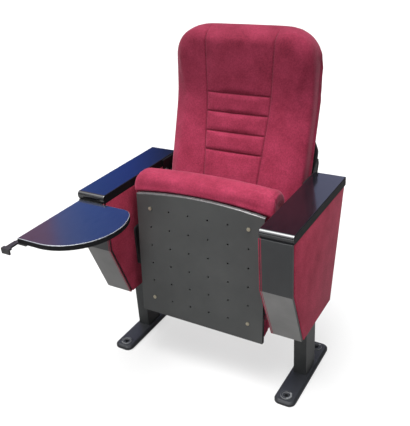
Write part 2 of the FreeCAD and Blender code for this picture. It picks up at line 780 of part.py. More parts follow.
def make_seat_panel():
    """The perforated bottom panel with its arched front edge, modelled level."""
    body = new_body("seat_panel_body")
    outline = new_sketch(body, "seat_panel_outline", "XY_Plane")
    half = d.seat_width / 2
    corner = d.seat_front - d.seat_arch
    radius = (half ** 2 + d.seat_arch ** 2) / (2 * d.seat_arch)
    swing = math.asin(half / radius)
    corners = [("seat_width / 2", "-seat_front + seat_arch"), ("seat_width / 2", "seat_rear"),
               ("-seat_width / 2", "seat_rear"), ("-seat_width / 2", "-seat_front + seat_arch")]
    places = [Vector(half, -corner), Vector(half, d.seat_rear),
              Vector(-half, d.seat_rear), Vector(-half, -corner)]
    for i in range(3):
        outline.addGeometry(Part.LineSegment(places[i], places[i + 1]))
    circle = Part.Circle(Vector(0, radius - d.seat_front), Vector(0, 0, 1), radius)
    outline.addGeometry(Part.ArcOfCircle(circle, 1.5 * math.pi - swing, 1.5 * math.pi + swing))
    for i in range(4):
        outline.addConstraint(Sketcher.Constraint("Coincident", i, 2, (i + 1) % 4, 1))
        pin_point(outline, i, 1, *corners[i])
    bow = outline.addConstraint(Sketcher.Constraint("Radius", 3, radius))
    bind(outline, f"Constraints[{bow}]", "((seat_width / 2)^2 + seat_arch^2) / (2 * seat_arch)")
    pad(body, outline, "seat_panel_thick")
    dress(body, "Fillet", "seat_panel_round",
          lambda edge: near(edge.BoundBox.ZMax, 0) and edge.BoundBox.YMin < -corner - 1)
    place(body, "0", "0", "-seat_drop")
    tools = []
    for column, line, is_corner in panel_hole_places():
        x, y = grid_place(column, line)
        dia = "screw_dia + 2 * screw_clear" if is_corner else "hole_dia"
        tools.append(rod(f"seat_panel_hole_{column}_{line}", dia, "seat_panel_thick",
                         (x, y, "-seat_drop"), (0, 0, 1)))
    node("seat_panel", folded(cut("seat_panel_cut", body, tools)))


def seat_screw_parts(prefix, make):
    parts = []
    for column, line, is_corner in panel_hole_places():
        if is_corner:
            parts.append(make(f"{prefix}_{column}_{line}", *grid_place(column, line)))
    return parts


def make_seat_screws():
    def screw(name, x, y):
        low = "-seat_drop - screw_head_thick"
        head = rod(name + "_head", "panel_screw_head", "screw_head_thick", (x, y, low), (0, 0, 1))
        shank = rod(name + "_shank", "screw_dia",
                    "screw_head_thick + seat_panel_thick + seat_board_thick / 2", (x, y, low), (0, 0, 1))
        return joined(name, [head, shank])
    node("seat_panel_screws", folded(joined("seat_screw_group", seat_screw_parts("seat_screw", screw))))


def bar_block(name, y, clear):
    """A cross bar of the seat frame, or with a clearance its slot in the seat board."""
    width = f"bar_width + 2 * {clear}"
    return block(name, (f"2 * {HINGE_INNER}", width, f"bar_thick + {clear}"),
                 (f"-{HINGE_INNER}", f"{y} - bar_width / 2 - {clear}", "-seat_drop + seat_panel_thick"))


def make_seat_frame():
    """Two flat steel bars across the seat, between the hinge plates."""
    bars = [bar_block("seat_bar_rear", "bar_rear", "0"), bar_block("seat_bar_front", "-bar_front", "0")]
    node("seat_frame", folded(joined("seat_bars", bars)))


def make_seat_board():
    """The plywood base of the cushion, slotted for the bars."""
    base = "-seat_drop + seat_panel_thick"
    half = "(seat_width / 2 - seat_board_inset)"
    depth = "seat_rear + seat_front - seat_arch - 2 * seat_board_inset"
    board = block("seat_board_blank", (f"2 * {half}", depth, "seat_board_thick"),
                  (f"-{half}", "-seat_front + seat_arch + seat_board_inset", base))
    tools = [bar_block("seat_slot_rear", "bar_rear", "board_gap"),
             bar_block("seat_slot_front", "-bar_front", "board_gap")]
    tools += seat_screw_parts("seat_board_hole", lambda name, x, y: rod(
        name, "screw_dia + 2 * screw_clear", "seat_board_thick", (x, y, base), (0, 0, 1)))
    node("seat_board", folded(cut("seat_board_cut", board, tools)))


def rounded_wire(corners, to_space):
    """A closed wire through corners (a, b, radius), each corner turned into a tangent arc.

    Where two arcs would meet on a short side, both are made smaller so that they still fit.
    """
    count = len(corners)
    spots = [Vector(a, b) for a, b, _ in corners]
    sides = [(spots[(i + 1) % count] - spots[i]).Length for i in range(count)]
    backs = [(spots[i - 1] - spots[i]).normalize() for i in range(count)]
    aheads = [(spots[(i + 1) % count] - spots[i]).normalize() for i in range(count)]
    halves = [math.acos(max(-1, min(1, backs[i].dot(aheads[i])))) / 2 for i in range(count)]
    wanted = [corners[i][2] / math.tan(halves[i]) for i in range(count)]
    reaches = []
    for i in range(count):
        before = 0.98 * sides[i - 1] / (wanted[i - 1] + wanted[i])
        after = 0.98 * sides[i] / (wanted[i] + wanted[(i + 1) % count])
        reaches.append(wanted[i] * min(1, before, after))
    starts = [spots[i] + backs[i] * reaches[i] for i in range(count)]
    stops = [spots[i] + aheads[i] * reaches[i] for i in range(count)]
    edges = []
    for i in range(count):
        radius = reaches[i] * math.tan(halves[i])
        middle = spots[i] + (backs[i] + aheads[i]).normalize() * (radius / math.sin(halves[i]) - radius)
        edges.append(Part.Arc(to_space(starts[i]), to_space(middle), to_space(stops[i])).toShape())
        edges.append(Part.LineSegment(to_space(stops[i]), to_space(starts[(i + 1) % count])).toShape())
    return Part.Wire(edges)


def lofted(name, wires):
    cushion = doc.addObject("Part::Feature", name)
    cushion.Shape = Part.makeLoft(wires, True, True)
    return cushion


def cushion_section(x, inset, is_nose):
    """One upright slice of the level seat cushion; beyond the hinges only its nose goes on."""
    base = -d.seat_drop + d.seat_panel_thick + d.seat_board_thick + d.cushion_gap
    bow = ((d.seat_width / 2) ** 2 + d.seat_arch ** 2) / (2 * d.seat_arch)
    lip = d.seat_front - bow + math.sqrt(bow ** 2 - x ** 2) + d.cushion_gap
    nose = d.cushion_nose - 1.2 * max(inset, 0) - 0.5 * (d.seat_front - lip)
    low = -d.cushion_nose_low + max(inset, 0)
    fall = (d.cushion_top_mid - d.cushion_top_front) / d.cushion_nose
    if is_nose:
        rear = d.nose_rear + 0.5 * inset
        middle = 0.5 * (rear + nose)
        crown = d.cushion_top_mid - fall * middle + d.cushion_hem - inset
        rear_top = d.cushion_top_mid - fall * rear - inset
    else:
        rear = -d.seat_rear + d.cushion_rear + inset
        middle = 0
        crown = d.cushion_top_mid - inset
        rear_top = d.cushion_top_rear - inset
    corners = [
        (rear, base, d.cushion_hem),
        (lip, base, d.cushion_hem / 2),
        (lip, low, d.cushion_hem),
        (nose, low, d.cushion_nose_round),
        (nose, d.cushion_top_front - inset, d.cushion_nose_round),
        (middle, crown, d.cushion_crown_round),
        (rear, rear_top, d.cushion_edge_round),
    ]
    return rounded_wire(corners, lambda spot: Vector(x, -spot.x, spot.y))


def make_seat_cushion():
    """The crowned seat cushion with its full nose and drawn-in sides, modelled level."""
    half = d.seat_width / 2 - d.cushion_side
    wide = half + d.nose_overhang
    shares = (0.14, 0.28, 0.42, 0.56, 0.7, 0.84, 1)
    flank = [(share * half, -0.25 + 0.3 * share ** 2, False) for share in shares]
    flank += [(half + d.nose_step, 0.08, True), (half + 0.3 * d.nose_overhang, 0.16, True),
              (half + 0.6 * d.nose_overhang, 0.34, True), (half + 0.85 * d.nose_overhang, 0.62, True),
              (wide, 1, True)]
    stations = [(-x, draw, is_nose) for x, draw, is_nose in reversed(flank)] + [(0, -0.25, False)] + flank
    wires = [cushion_section(x, draw * d.cushion_draw, is_nose) for x, draw, is_nose in stations]
    node("seat_cushion", folded(lofted("seat_cushion_loft", wires)))


def back_front_y(height):
    """How far back the front of the back cushion lies at a height."""
    lean = d.back_low_lean if height < d.back_bend_height else d.back_high_lean
    return d.back_bend_y + (height - d.back_bend_height) * math.tan(math.radians(lean))


def back_lean_vector(height):
    lean = d.back_low_lean if height < d.back_bend_height else d.back_high_lean
    return Vector(0, math.sin(math.radians(lean)), math.cos(math.radians(lean)))


def seam_tool(name, start, stop):
    """A round cutter along a seam line on the front of the back cushion."""
    radius = (d.seam_width ** 2 / 4 + d.seam_depth ** 2) / (2 * d.seam_depth)
    out = Vector(0, -(radius - d.seam_depth), 0)
    tool = doc.addObject("Part::Feature", name)
    tool.Shape = Part.makeCylinder(radius, (stop - start).Length, start + out, stop - start)
    return tool


def make_back_cushion():
    """The back cushion: bent at the waist, round at the top corners, with sewn channels."""
    half = d.back_width / 2
    straight = half - d.back_corner
    wires = []
    shares = [(1, 1), (0.96, 0.55), (0.89, 0.32), (0.78, 0.17), (0.6, 0.07), (0.32, 0.02), (0, 0)]
    spans = [(straight + share * d.back_corner, draw) for share, draw in shares]
    stations = [(-x, draw) for x, draw in spans] + [(0, -d.back_crown / d.back_draw)]
    stations += [(x, draw) for x, draw in reversed(spans)]
    for x, draw in stations:
        inset = draw * d.back_draw
        past = max(abs(x) - straight, 0)
        top = d.back_top - d.back_corner + math.sqrt(d.back_corner ** 2 - past ** 2)
        heel = max(abs(x) - half + d.back_heel_side, 0) / d.back_heel_side
        bottom = d.back_bottom + heel * d.back_heel_rise
        rear = d.back_thick - 0.4 * max(inset, 0)
        corners = [
            (back_front_y(bottom) + inset, bottom, d.back_round / 2),
            (d.back_bend_y + inset, d.back_bend_height, d.back_bend_round),
            (back_front_y(top) + inset, top, d.back_round),
            (back_front_y(top) + rear, top, d.back_round * 0.8),
            (d.back_bend_y + rear, d.back_bend_height, d.back_bend_round),
            (back_front_y(bottom) + rear, bottom, d.back_round / 2),
        ]
        wires.append(rounded_wire(corners, lambda spot, x=x: Vector(x, spot.x, spot.y)))
    cushion = lofted("back_cushion_loft", wires)
    tools = []
    for sign in (-1, 1):
        knee = Vector(sign * d.seam_half, d.back_bend_y - d.back_crown / 2, d.back_bend_height)
        low = Vector(knee.x, back_front_y(d.back_bottom) - d.back_crown / 2, d.back_bottom)
        high = Vector(knee.x, back_front_y(d.back_top) - d.back_crown / 2, d.back_top)
        tools.append(seam_tool(f"seam_low_{sign + 1}", low, knee))
        tools.append(seam_tool(f"seam_high_{sign + 1}", knee, high))
    for number in range(int(d.channel_count)):
        height = d.channel_low + number * d.channel_step
        y = back_front_y(height) - 0.8 * d.back_crown
        tools.append(seam_tool(f"channel_{number}", Vector(-d.seam_half, y, height),
                               Vector(d.seam_half, y, height)))
    node("back_cushion", cut("back_cushion_cut", cushion, tools))


def shell_front_y(height):
    return back_front_y(height) + d.back_thick + d.shell_gap


def make_back_shell():
    """The moulded black shell behind the cushion, wider below where the brackets hold it."""
    heights = (d.shell_bottom, d.back_bend_height, d.shell_top)
    front = [Vector(0, shell_front_y(height), height) for height in heights]
    rear = [Vector(0, spot.y + d.shell_thick, spot.z) for spot in front]
    profile = Part.Face(Part.makePolygon(front + rear[::-1] + front[:1]))
    half = d.shell_width / 2
    strip = profile.extrude(Vector(2 * half, 0, 0))
    strip.translate(Vector(-half, 0, 0))
    high = d.shell_high_width / 2
    neck = d.shell_shoulder + d.shell_shoulder_rise
    outline = rounded_wire(
        [(-half, d.shell_bottom, d.shell_low_round), (half, d.shell_bottom, d.shell_low_round),
         (half, d.shell_shoulder, d.shell_shoulder_round), (high, neck, d.shell_shoulder_round),
         (high, d.shell_top, d.shell_round), (-high, d.shell_top, d.shell_round),
         (-high, neck, d.shell_shoulder_round), (-half, d.shell_shoulder, d.shell_shoulder_round)],
        lambda spot: Vector(spot.x, 0, spot.y))
    reach = Vector(0, 2 * d.back_bend_y, 0)
    shell = doc.addObject("Part::Feature", "back_shell_solid")
    shell.Shape = strip.common(Part.Face(outline).extrude(reach))
    tools = []
    for name, start, along in shell_screw_places():
        hole = doc.addObject("Part::Feature", name + "_hole")
        hole.Shape = Part.makeCylinder(d.screw_dia / 2 + d.screw_clear, d.shell_thick, start, along)
        tools.append(hole)
    node("back_shell", cut("back_shell_cut", shell, tools))


def flange_corner():
    """The foot of a bracket's flange on the rear face of the shell."""
    return Vector(0, shell_front_y(d.back_flange_low) + d.shell_thick, d.back_flange_low)


def shell_screw_places():
    """The screws through the bracket flanges into the shell: name, point on the flange, direction."""
    lean = math.radians(d.back_low_lean)
    up = back_lean_vector(d.back_flange_low)
    forward = Vector(0, -math.cos(lean), math.sin(lean))
    places = []
    for side, sign in SIDES.items():
        for number, share in enumerate((0.2, 0.8)):
            x = sign * (d.shell_width / 2 - d.back_flange_width / 2)
            spot = flange_corner() + up * (share * d.back_flange_height) + Vector(x, 0, 0)
            places.append((f"{side}_shell_screw_{number}", spot, forward))
    return places


def make_back_bracket(side, sign):
    """A steel side plate from the arm box to the back shell, with a flange behind the shell."""
    inner = d.shell_width / 2
    foot = flange_corner()
    up = back_lean_vector(d.back_flange_low)
    head = foot + up * d.back_flange_height
    behind = Vector(0, d.back_flange_thick / math.cos(math.radians(d.back_low_lean)), 0)
    brow_y = back_front_y(d.back_bracket_brow) + d.back_bracket_set_back
    spots = [Vector(0, d.back_bracket_front, d.back_bracket_low),
             Vector(0, d.back_bracket_front, d.back_bracket_brow),
             Vector(0, brow_y, d.back_bracket_brow), Vector(0, head.y, d.back_bracket_peak),
             head + behind, foot + behind, Vector(0, foot.y, d.back_bracket_low)]
    plate = Part.Face(Part.makePolygon(spots + spots[:1])).extrude(Vector(sign * d.back_bracket_thick, 0, 0))
    plate.translate(Vector(sign * inner, 0, 0))
    flange = Part.Face(Part.makePolygon([foot, foot + behind, head + behind, head, foot]))
    flange = flange.extrude(Vector(-sign * d.back_flange_width, 0, 0))
    flange.translate(Vector(sign * inner, 0, 0))
    bracket = doc.addObject("Part::Feature", side + "_back_bracket_solid")
    bracket.Shape = plate.fuse(flange).removeSplitter()
    tools = []
    for number, height in enumerate(BACK_BOLTS):
        tools.append(rod(f"{side}_back_bracket_hole_{number}", "bolt_dia + 2 * bolt_clear",
                         "back_bracket_thick", (f"{sign} * shell_width / 2", "back_bolt_y", height),
                         (sign, 0, 0)))
    for name, start, along in shell_screw_places():
        if name.startswith(side):
            hole = doc.addObject("Part::Feature", name + "_flange_hole")
            hole.Shape = Part.makeCylinder(d.screw_dia / 2 + d.screw_clear, 3 * d.back_flange_thick,
                                           start - along * 2 * d.back_flange_thick, along)
            tools.append(hole)
    node(side + "_back_bracket", cut(side + "_back_bracket_cut", bracket, tools))


def make_back_fasteners():
    """Bolts from the brackets to the anchor plates in the boxes, their spacers, and the shell screws."""
    bolts = []
    spacers = []
    panel_back = f"({INNER_FACE} + panel_thick)"
    bracket_face = "(shell_width / 2 + back_bracket_thick)"
    for side, sign in SIDES.items():
        head_face = f"{sign} * (shell_width / 2 - back_bolt_head)"
        anchor = block(side + "_anchor_plate",
                       ("anchor_thick", "2 * anchor_half",
                        "back_bolt_high - back_bolt_low + 2 * anchor_margin"),
                       (f"{sign} * {panel_back}" if sign > 0 else f"-{panel_back} - anchor_thick",
                        "back_bolt_y - anchor_half", "back_bolt_low - anchor_margin"))
        holes = []
        for number, height in enumerate(BACK_BOLTS):
            name = f"{side}_back_bolt_{number}"
            head = hexagon(name + "_head", "bolt_head_across", "back_bolt_head",
                           (head_face, "back_bolt_y", height), (sign, 0, 0))
            shank = rod(name + "_shank", "bolt_dia",
                        f"{panel_back} + anchor_thick - shell_width / 2 + back_bolt_head",
                        (head_face, "back_bolt_y", height), (sign, 0, 0))
            bolts.append(joined(name, [head, shank]))
            start = (f"{sign} * {bracket_face}", "back_bolt_y", height)
            tube = rod(name + "_spacer_tube", "spacer_dia", f"{INNER_FACE} - {bracket_face}",
                       start, (sign, 0, 0))
            bore = rod(name + "_spacer_bore", "bolt_dia + 2 * bolt_clear", f"{INNER_FACE} - {bracket_face}",
                       start, (sign, 0, 0))
            spacers.append(cut(name + "_spacer", tube, [bore]))
            holes.append(rod(name + "_anchor_hole", "bolt_dia + 2 * bolt_clear", "anchor_thick",
                             (f"{sign} * {panel_back}", "back_bolt_y", height), (sign, 0, 0)))
        node(side + "_back_anchor", cut(side + "_anchor_cut", anchor, holes))
    node("back_bolts", joined("back_bolt_group", bolts))
    node("back_spacers", joined("back_spacer_group", spacers))
    screws = []
    for name, spot, along in shell_screw_places():
        behind = spot - along * d.back_flange_thick
        head = Part.makeCylinder(d.screw_head_dia / 2, d.screw_head_thick,
                                 behind - along * d.screw_head_thick, along)
        shank = Part.makeCylinder(d.screw_dia / 2, d.back_flange_thick + 0.8 * d.shell_thick, behind, along)
        screw = doc.addObject("Part::Feature", name)
        screw.Shape = head.fuse(shank)
        screws.append(screw)
    node("back_shell_screws", joined("shell_screw_group", screws))


# The tablet hinge turns about a line that leans outwards and up at 45 degrees in the X-Z plane
AXIS = Vector(-1, 0, 1) / ROOT_TWO
AXIS_FOOT = ("-axis_x", "-armrest_front - axis_front", "axis_height")


def on_axis(distance):
    """A place on the tablet's hinge line, as three expressions."""
    slant = f"({distance}) / sqrt(2)"
    return (f"-axis_x - {slant}", AXIS_FOOT[1], f"axis_height + {slant}")


def make_hinge_block():
    """The fixed half of the tablet hinge: a plate on the left fascia with a slanted boss."""
    plate = block("block_plate", ("block_plate_width", "block_plate_thick", "block_plate_height"),
                  ("-axis_x - block_plate_side", "-armrest_front - block_plate_thick", "block_plate_low"))
    boss = rod("block_boss", "knuckle_dia", "block_boss_length", on_axis("-block_boss_length"), AXIS)
    stem = block("block_stem", ("block_stem_size", "axis_front", "block_stem_size"),
                 ("-axis_x + block_plate_side", "-armrest_front - axis_front",
                  "axis_height - block_plate_side - block_stem_size"))
    bore = rod("block_bore", "hinge_pin_dia + 2 * hinge_pin_clear", "block_boss_length",
               on_axis("-block_boss_length"), AXIS)
    tools = [bore]
    for number, (x, z) in enumerate(block_screw_places()):
        tools.append(rod(f"block_hole_{number}", "screw_dia + 2 * screw_clear", "block_plate_thick",
                         (x, "-armrest_front - block_plate_thick", z), (0, 1, 0)))
    node("tablet_hinge_block", cut("block_cut", joined("block_solid", [plate, boss, stem]), tools))
    screws = []
    for number, (x, z) in enumerate(block_screw_places()):
        face = "-armrest_front - block_plate_thick - screw_head_thick"
        name = f"block_screw_{number}"
        head = rod(name + "_head", "screw_head_dia", "screw_head_thick", (x, face, z), (0, 1, 0))
        shank = rod(name + "_shank", "screw_dia", "screw_head_thick + block_plate_thick + board_thick",
                    (x, face, z), (0, 1, 0))
        screws.append(joined(name, [head, shank]))
    node("hinge_block_screws", joined("block_screw_group", screws))


def make_hinge_pin():
    """The hinge pin with its head, the friction washer on the boss and the nut at the outer end."""
    washer = rod("friction_washer_disc", "knuckle_dia", "friction_washer_thick", on_axis("0"), AXIS)
    washer_bore = rod("friction_washer_bore", "hinge_pin_dia + 2 * hinge_pin_clear", "friction_washer_thick",
                      on_axis("0"), AXIS)
    node("tablet_friction_washer", cut("friction_washer_cut", washer, [washer_bore]))
    head_at = "-block_boss_length - hinge_pin_head_thick"
    knuckle_end = "friction_washer_thick + 2 * stop_gap + knuckle_length"
    shank = rod("hinge_pin_shank", "hinge_pin_dia",
                f"hinge_pin_head_thick + block_boss_length + {knuckle_end} + hinge_nut_thick",
                on_axis(head_at), AXIS)
    head = rod("hinge_pin_head", "hinge_pin_head_dia", "hinge_pin_head_thick", on_axis(head_at), AXIS)
    node("tablet_hinge_pin", joined("hinge_pin_solid", [shank, head]))
    nut = hexagon("hinge_nut_blank", "hinge_nut_across", "hinge_nut_thick", on_axis(knuckle_end), AXIS)
    nut_bore = rod("hinge_nut_bore", "hinge_pin_dia + 2 * hinge_pin_clear", "hinge_nut_thick",
                   on_axis(knuckle_end), AXIS)
    node("tablet_hinge_nut", cut("hinge_nut_cut", nut, [nut_bore]))


def make_tablet_arm():
    """The steel strap under the tablet, with its knuckle behind and a turned-down tab in front."""
    top = "(tablet_top - tablet_thick)"
    low = f"({top} - arm_strap_thick)"
    rear = "(-armrest_front - axis_front + arm_strap_end)"
    strap = block("arm_strap", ("arm_strap_width", f"tablet_front + {rear}", "arm_strap_thick"),
                  ("-arm_strap_outer", "-tablet_front", low))
    neck = block("arm_neck", ("neck_width", "neck_length", "arm_strap_thick"),
                 ("-neck_outer", "-tablet_front - neck_length + tab_length / 2", low))
    tab_front = "(-tablet_front - neck_length)"
    tab = block("arm_tab", ("tab_width", "tab_length", "arm_strap_thick"), ("-tab_outer", tab_front, low))
    lip = block("arm_lip", ("tab_width", "arm_strap_thick", "tab_drop + arm_strap_thick"),
                ("-tab_outer", tab_front, f"{low} - tab_drop"))
    start = "(friction_washer_thick + stop_gap)"
    knuckle = rod("arm_knuckle", "knuckle_dia", "knuckle_length", on_axis(start), AXIS)
    web = block("arm_web",
                ("web_width", "2 * arm_strap_end", f"{low} - axis_height - arm_strap_end + web_lap"),
                ("-arm_strap_outer", f"{rear} - 2 * arm_strap_end", "axis_height + arm_strap_end"))
    bore = rod("arm_bore", "hinge_pin_dia + 2 * hinge_pin_clear", "2 * knuckle_length", on_axis("0"), AXIS)
    tools = [bore]
    for number in range(3):
        tools.append(rod(f"arm_hole_{number}", "screw_dia + 2 * screw_clear", "arm_strap_thick",
                         (*tablet_screw_place(number), low), (0, 0, 1)))
    node("tablet_arm", cut("arm_cut", joined("arm_solid", [strap, neck, tab, lip, knuckle, web]), tools))


def tablet_screw_place(number):
    y = f"-tablet_front + tablet_screw_first + {number} * tablet_screw_step"
    return "-tablet_outer + tablet_screw_in", y


def make_tablet_board():
    """The D-shaped writing board: straight outer and front edges and one large round."""
    body = new_body("tablet_board_body")
    outline = new_sketch(body, "tablet_outline", "XY_Plane")
    rise = d.tablet_front - d.tablet_round - d.tablet_rear
    sweep = math.asin(rise / d.tablet_round)
    meet = "-tablet_centre + sqrt(tablet_round^2 - (tablet_front - tablet_round - tablet_rear)^2)"
    corners = [(meet, "-tablet_rear"), ("-tablet_outer", "-tablet_rear"), ("-tablet_outer", "-tablet_front"),
               ("-tablet_centre", "-tablet_front")]
    far = -d.tablet_centre + d.tablet_round * math.cos(sweep)
    places = [Vector(far, -d.tablet_rear), Vector(-d.tablet_outer, -d.tablet_rear),
              Vector(-d.tablet_outer, -d.tablet_front), Vector(-d.tablet_centre, -d.tablet_front)]
    for i in range(3):
        outline.addGeometry(Part.LineSegment(places[i], places[i + 1]))
    middle = Vector(-d.tablet_centre, -d.tablet_front + d.tablet_round)
    circle = Part.Circle(middle, Vector(0, 0, 1), d.tablet_round)
    outline.addGeometry(Part.ArcOfCircle(circle, -math.pi / 2, sweep))
    for i in range(4):
        outline.addConstraint(Sketcher.Constraint("Coincident", i, 2, (i + 1) % 4, 1))
        pin_point(outline, i, 1, *corners[i])
    bow = outline.addConstraint(Sketcher.Constraint("Radius", 3, d.tablet_round))
    bind(outline, f"Constraints[{bow}]", "tablet_round")
    pad(body, outline, "tablet_thick")
    dress(body, "Fillet", "tablet_corner",
          lambda edge: is_straight_along(edge, 2) and near(edge.BoundBox.XMin, far))
    rim = dress(body, "Fillet", "tablet_edge", lambda edge: near(edge.BoundBox.ZMin, d.tablet_thick))
    rim.Label = "tablet_rim"
    place(body, "0", "0", "tablet_top - tablet_thick")
    tools = []
    for number in range(3):
        tools.append(rod(f"tablet_hole_{number}", "screw_dia + 2 * screw_clear", "tablet_thick * 0.7",
                         (*tablet_screw_place(number), "tablet_top - tablet_thick"), (0, 0, 1)))
    node("tablet_board", cut("tablet_cut", body, tools))


def make_tablet_screws():
    screws = []
    low = "tablet_top - tablet_thick - arm_strap_thick - screw_head_thick"
    for number in range(3):
        x, y = tablet_screw_place(number)
        name = f"tablet_screw_{number}"
        head = rod(name + "_head", "screw_head_dia", "screw_head_thick", (x, y, low), (0, 0, 1))
        shank = rod(name + "_shank", "screw_dia", "screw_head_thick + arm_strap_thick + tablet_thick * 0.65",
                    (x, y, low), (0, 0, 1))
        screws.append(joined(name, [head, shank]))
    node("tablet_screws", joined("tablet_screw_group", screws))


def check_and_write():
    """Stop on any failed object or bad shape, then write each sub-part to its own file."""
    doc.recompute()
    for thing in doc.Objects:
        if "Invalid" in thing.State or "Error" in thing.State:
            raise RuntimeError(f"{thing.Name} failed: {thing.State}")
    for name, thing in nodes.items():
        if thing.Shape.isNull() or not thing.Shape.isValid():
            raise RuntimeError(name + " has no valid shape")
        if not thing.Shape.Solids:
            raise RuntimeError(name + " has no solid")
    os.makedirs("parts", exist_ok=True)
    for name, thing in nodes.items():
        thing.Shape.exportStep(f"parts/{name}.step")
        print(f"{name}: {len(thing.Shape.Solids)} solids, {thing.Shape.Volume / 1000:.1f} cm3")


for side_name, side_sign in SIDES.items():
    make_foot(side_name, side_sign)
    make_post(side_name, side_sign)
    make_carrier(side_name, side_sign)
    make_armrest(side_name, side_sign)
    make_panels(side_name, side_sign)
    make_fascia(side_name, side_sign)
    make_covers(side_name, side_sign)
    make_seat_bracket(side_name, side_sign)
    make_return_spring(side_name, side_sign)
    make_pivot_pin(side_name, side_sign)
    make_hinge_plate(side_name, side_sign)
    make_back_bracket(side_name, side_sign)
make_armrest_screws()
make_bracket_fasteners()
make_buffers()
make_seat_panel()
make_seat_screws()
make_seat_frame()
make_seat_board()
make_seat_cushion()
make_back_cushion()
make_back_shell()
make_back_fasteners()
make_hinge_block()
make_hinge_pin()
make_tablet_arm()
make_tablet_board()
make_tablet_screws()
check_and_write()
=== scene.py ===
import math

import bmesh
import bpy
from mathutils import Matrix, Vector


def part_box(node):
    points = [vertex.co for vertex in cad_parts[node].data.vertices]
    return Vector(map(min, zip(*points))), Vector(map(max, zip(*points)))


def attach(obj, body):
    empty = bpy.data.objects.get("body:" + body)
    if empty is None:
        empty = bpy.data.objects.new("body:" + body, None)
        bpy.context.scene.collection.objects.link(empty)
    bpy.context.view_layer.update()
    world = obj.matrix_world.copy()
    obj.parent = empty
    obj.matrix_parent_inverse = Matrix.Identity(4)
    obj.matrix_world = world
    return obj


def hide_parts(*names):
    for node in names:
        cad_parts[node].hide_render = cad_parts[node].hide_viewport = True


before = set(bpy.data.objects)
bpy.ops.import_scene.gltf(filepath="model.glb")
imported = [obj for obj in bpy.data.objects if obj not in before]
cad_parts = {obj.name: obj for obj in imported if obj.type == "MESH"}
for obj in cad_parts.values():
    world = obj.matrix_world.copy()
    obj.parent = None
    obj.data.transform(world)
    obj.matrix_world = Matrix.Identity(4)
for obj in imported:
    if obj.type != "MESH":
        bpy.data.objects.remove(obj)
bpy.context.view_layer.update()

SIDES = {"left": -1, "right": 1}

# From the source: where the back's front face bends, as (y, z), and its leans below and above the bend
BACK_BEND = (0.199, 0.781)
BACK_LEANS = (math.radians(18), math.radians(5.6))
BACK_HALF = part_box("back_cushion")[1][0]
BACK_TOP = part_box("back_cushion")[1][2]
# The seat's pivot line, how far the tipped-up seat is turned, and the arch of its front edge
SEAT_PIVOT = Vector((0, -0.010, 0.366))
SEAT_LEAN = math.radians(90 + 4.66)
SEAT_ARCH = 0.016
SEAT_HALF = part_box("seat_panel")[1][0]
SEAT_NOSE_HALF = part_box("seat_cushion")[1][0]

# How wide the edges of each kind of piece are broken
FABRIC_ROLL = 0.0026
BOARD_EDGE = 0.0012
ARMREST_EDGE = 0.0010
PANEL_RIM = 0.0006
THIN_EDGE = 0.0008
FOOT_EDGE = 0.0015
POST_CORNER = 0.0040
SHELL_EDGE = 0.0020
# The rings round the floor holes, painted pale as a highlight: hole places, the radii of a ring, and how high
# it starts
FLOOR_HOLES = (0.290, 0.1225)
RING_RADII = (0.0105, 0.0178)
RING_LOW = 0.0142
# The double welt beside each fascia: its beads' radius, how far their middles lie behind the face, pitch
WELT_RADIUS = 0.0013
WELT_INSET = 0.0009
WELT_PITCH = 0.0052

# The back's sewn lines: heights of the cross seams, and half the width between the upright seams by height
CROSS_SEAMS = (0.637, 0.6925, 0.748, 0.8035)
UPRIGHT_SEAMS = ((0.440, 0.086), (0.637, 0.096), (0.748, 0.103), (0.984, 0.113))
# A sewn line's width, how far beside it the fabric is split finer, and how much such fabric faces forward
SEAM_WIDTH = 0.0026
SEAM_REACH = 0.008
SEAM_FACING = 0.25
# The stitches in the sewn lines: pitch, size, height of the lowest, and how many go up each side
STITCH_PITCH = 0.0081
STITCH_LENGTH = 0.0052
STITCH_RADIUS = 0.00055
STITCH_FOOT = 0.450
STITCH_COUNT = 66
# The cloth that blows a cushion up: how much smaller it starts, its pressure and the frames it runs for
PADDING_SHRINK = 0.0015
PADDING_PRESSURE = 4.0
PADDING_FRAMES = 20
# Painted light and shade on the back: paler below these heights and darker above them; the seat's nose front
# is painted paler too
PAINTED_LIGHT_HEIGHTS = (0.58, 0.92)
PAINTED_LIGHT_TONES = (1.18, 0.78)
NOSE_PAINTED_LIGHT = 0.62

# The sky: where its light gathers overhead, how closely, its strength there and at the horizon
SKY_AIM = Vector((-0.08, -0.17, 0.98)).normalized()
SKY_FOCUS = 12.0
SKY_TOP = 17.0
SKY_HORIZON = 0.05
# The weak lamps in front: name, place, what it faces, size and watts
LAMPS = (
    ("key_softbox", (-1.5, -2.6, 2.3), (0, 0, 0.6), (1.8, 1.4), 8),
    ("front_fill", (1.6, -2.8, 1.1), (0, 0, 0.5), (1.6, 1.6), 2.5),
    ("floor_bounce", (0.5, -1.9, 0.10), (0, -0.1, 0.60), (1.8, 0.8), 2.6),
    ("side_fill", (2.7, -1.4, 1.2), (0.2, 0, 0.5), (1.2, 1.0), 4.5),
)
# The floor's own tone, and the glow that lifts it to paper white for the camera
FLOOR_TONE = 0.28
FLOOR_GLOW = 0.56
# The card behind the chair: its middle and its size
CARD_PLACE = (-2.5, 3.0, 2.7)
CARD_SIZE = (5.4, 3.4)
# The fitted camera: yaw, pitch and roll in degrees, its place and its lens
CAMERA_ANGLES = (31.56, 26.72, -3.78)
CAMERA_PLACE = (0.8258, -1.3825, 1.3105)
CAMERA_LENS = 51.64


# Small modelling steps

def clamp(value):
    return max(0.0, min(1.0, value))


def object_mode():
    if bpy.context.mode != "OBJECT":
        bpy.ops.object.mode_set(mode="OBJECT")


def clear_selection():
    object_mode()
    bpy.ops.object.select_all(action="DESELECT")


def make_active(piece):
    clear_selection()
    piece.select_set(True)
    bpy.context.view_layer.objects.active = piece


def edit_all(piece):
    make_active(piece)
    bpy.ops.object.mode_set(mode="EDIT")
    bpy.ops.mesh.select_all(action="SELECT")


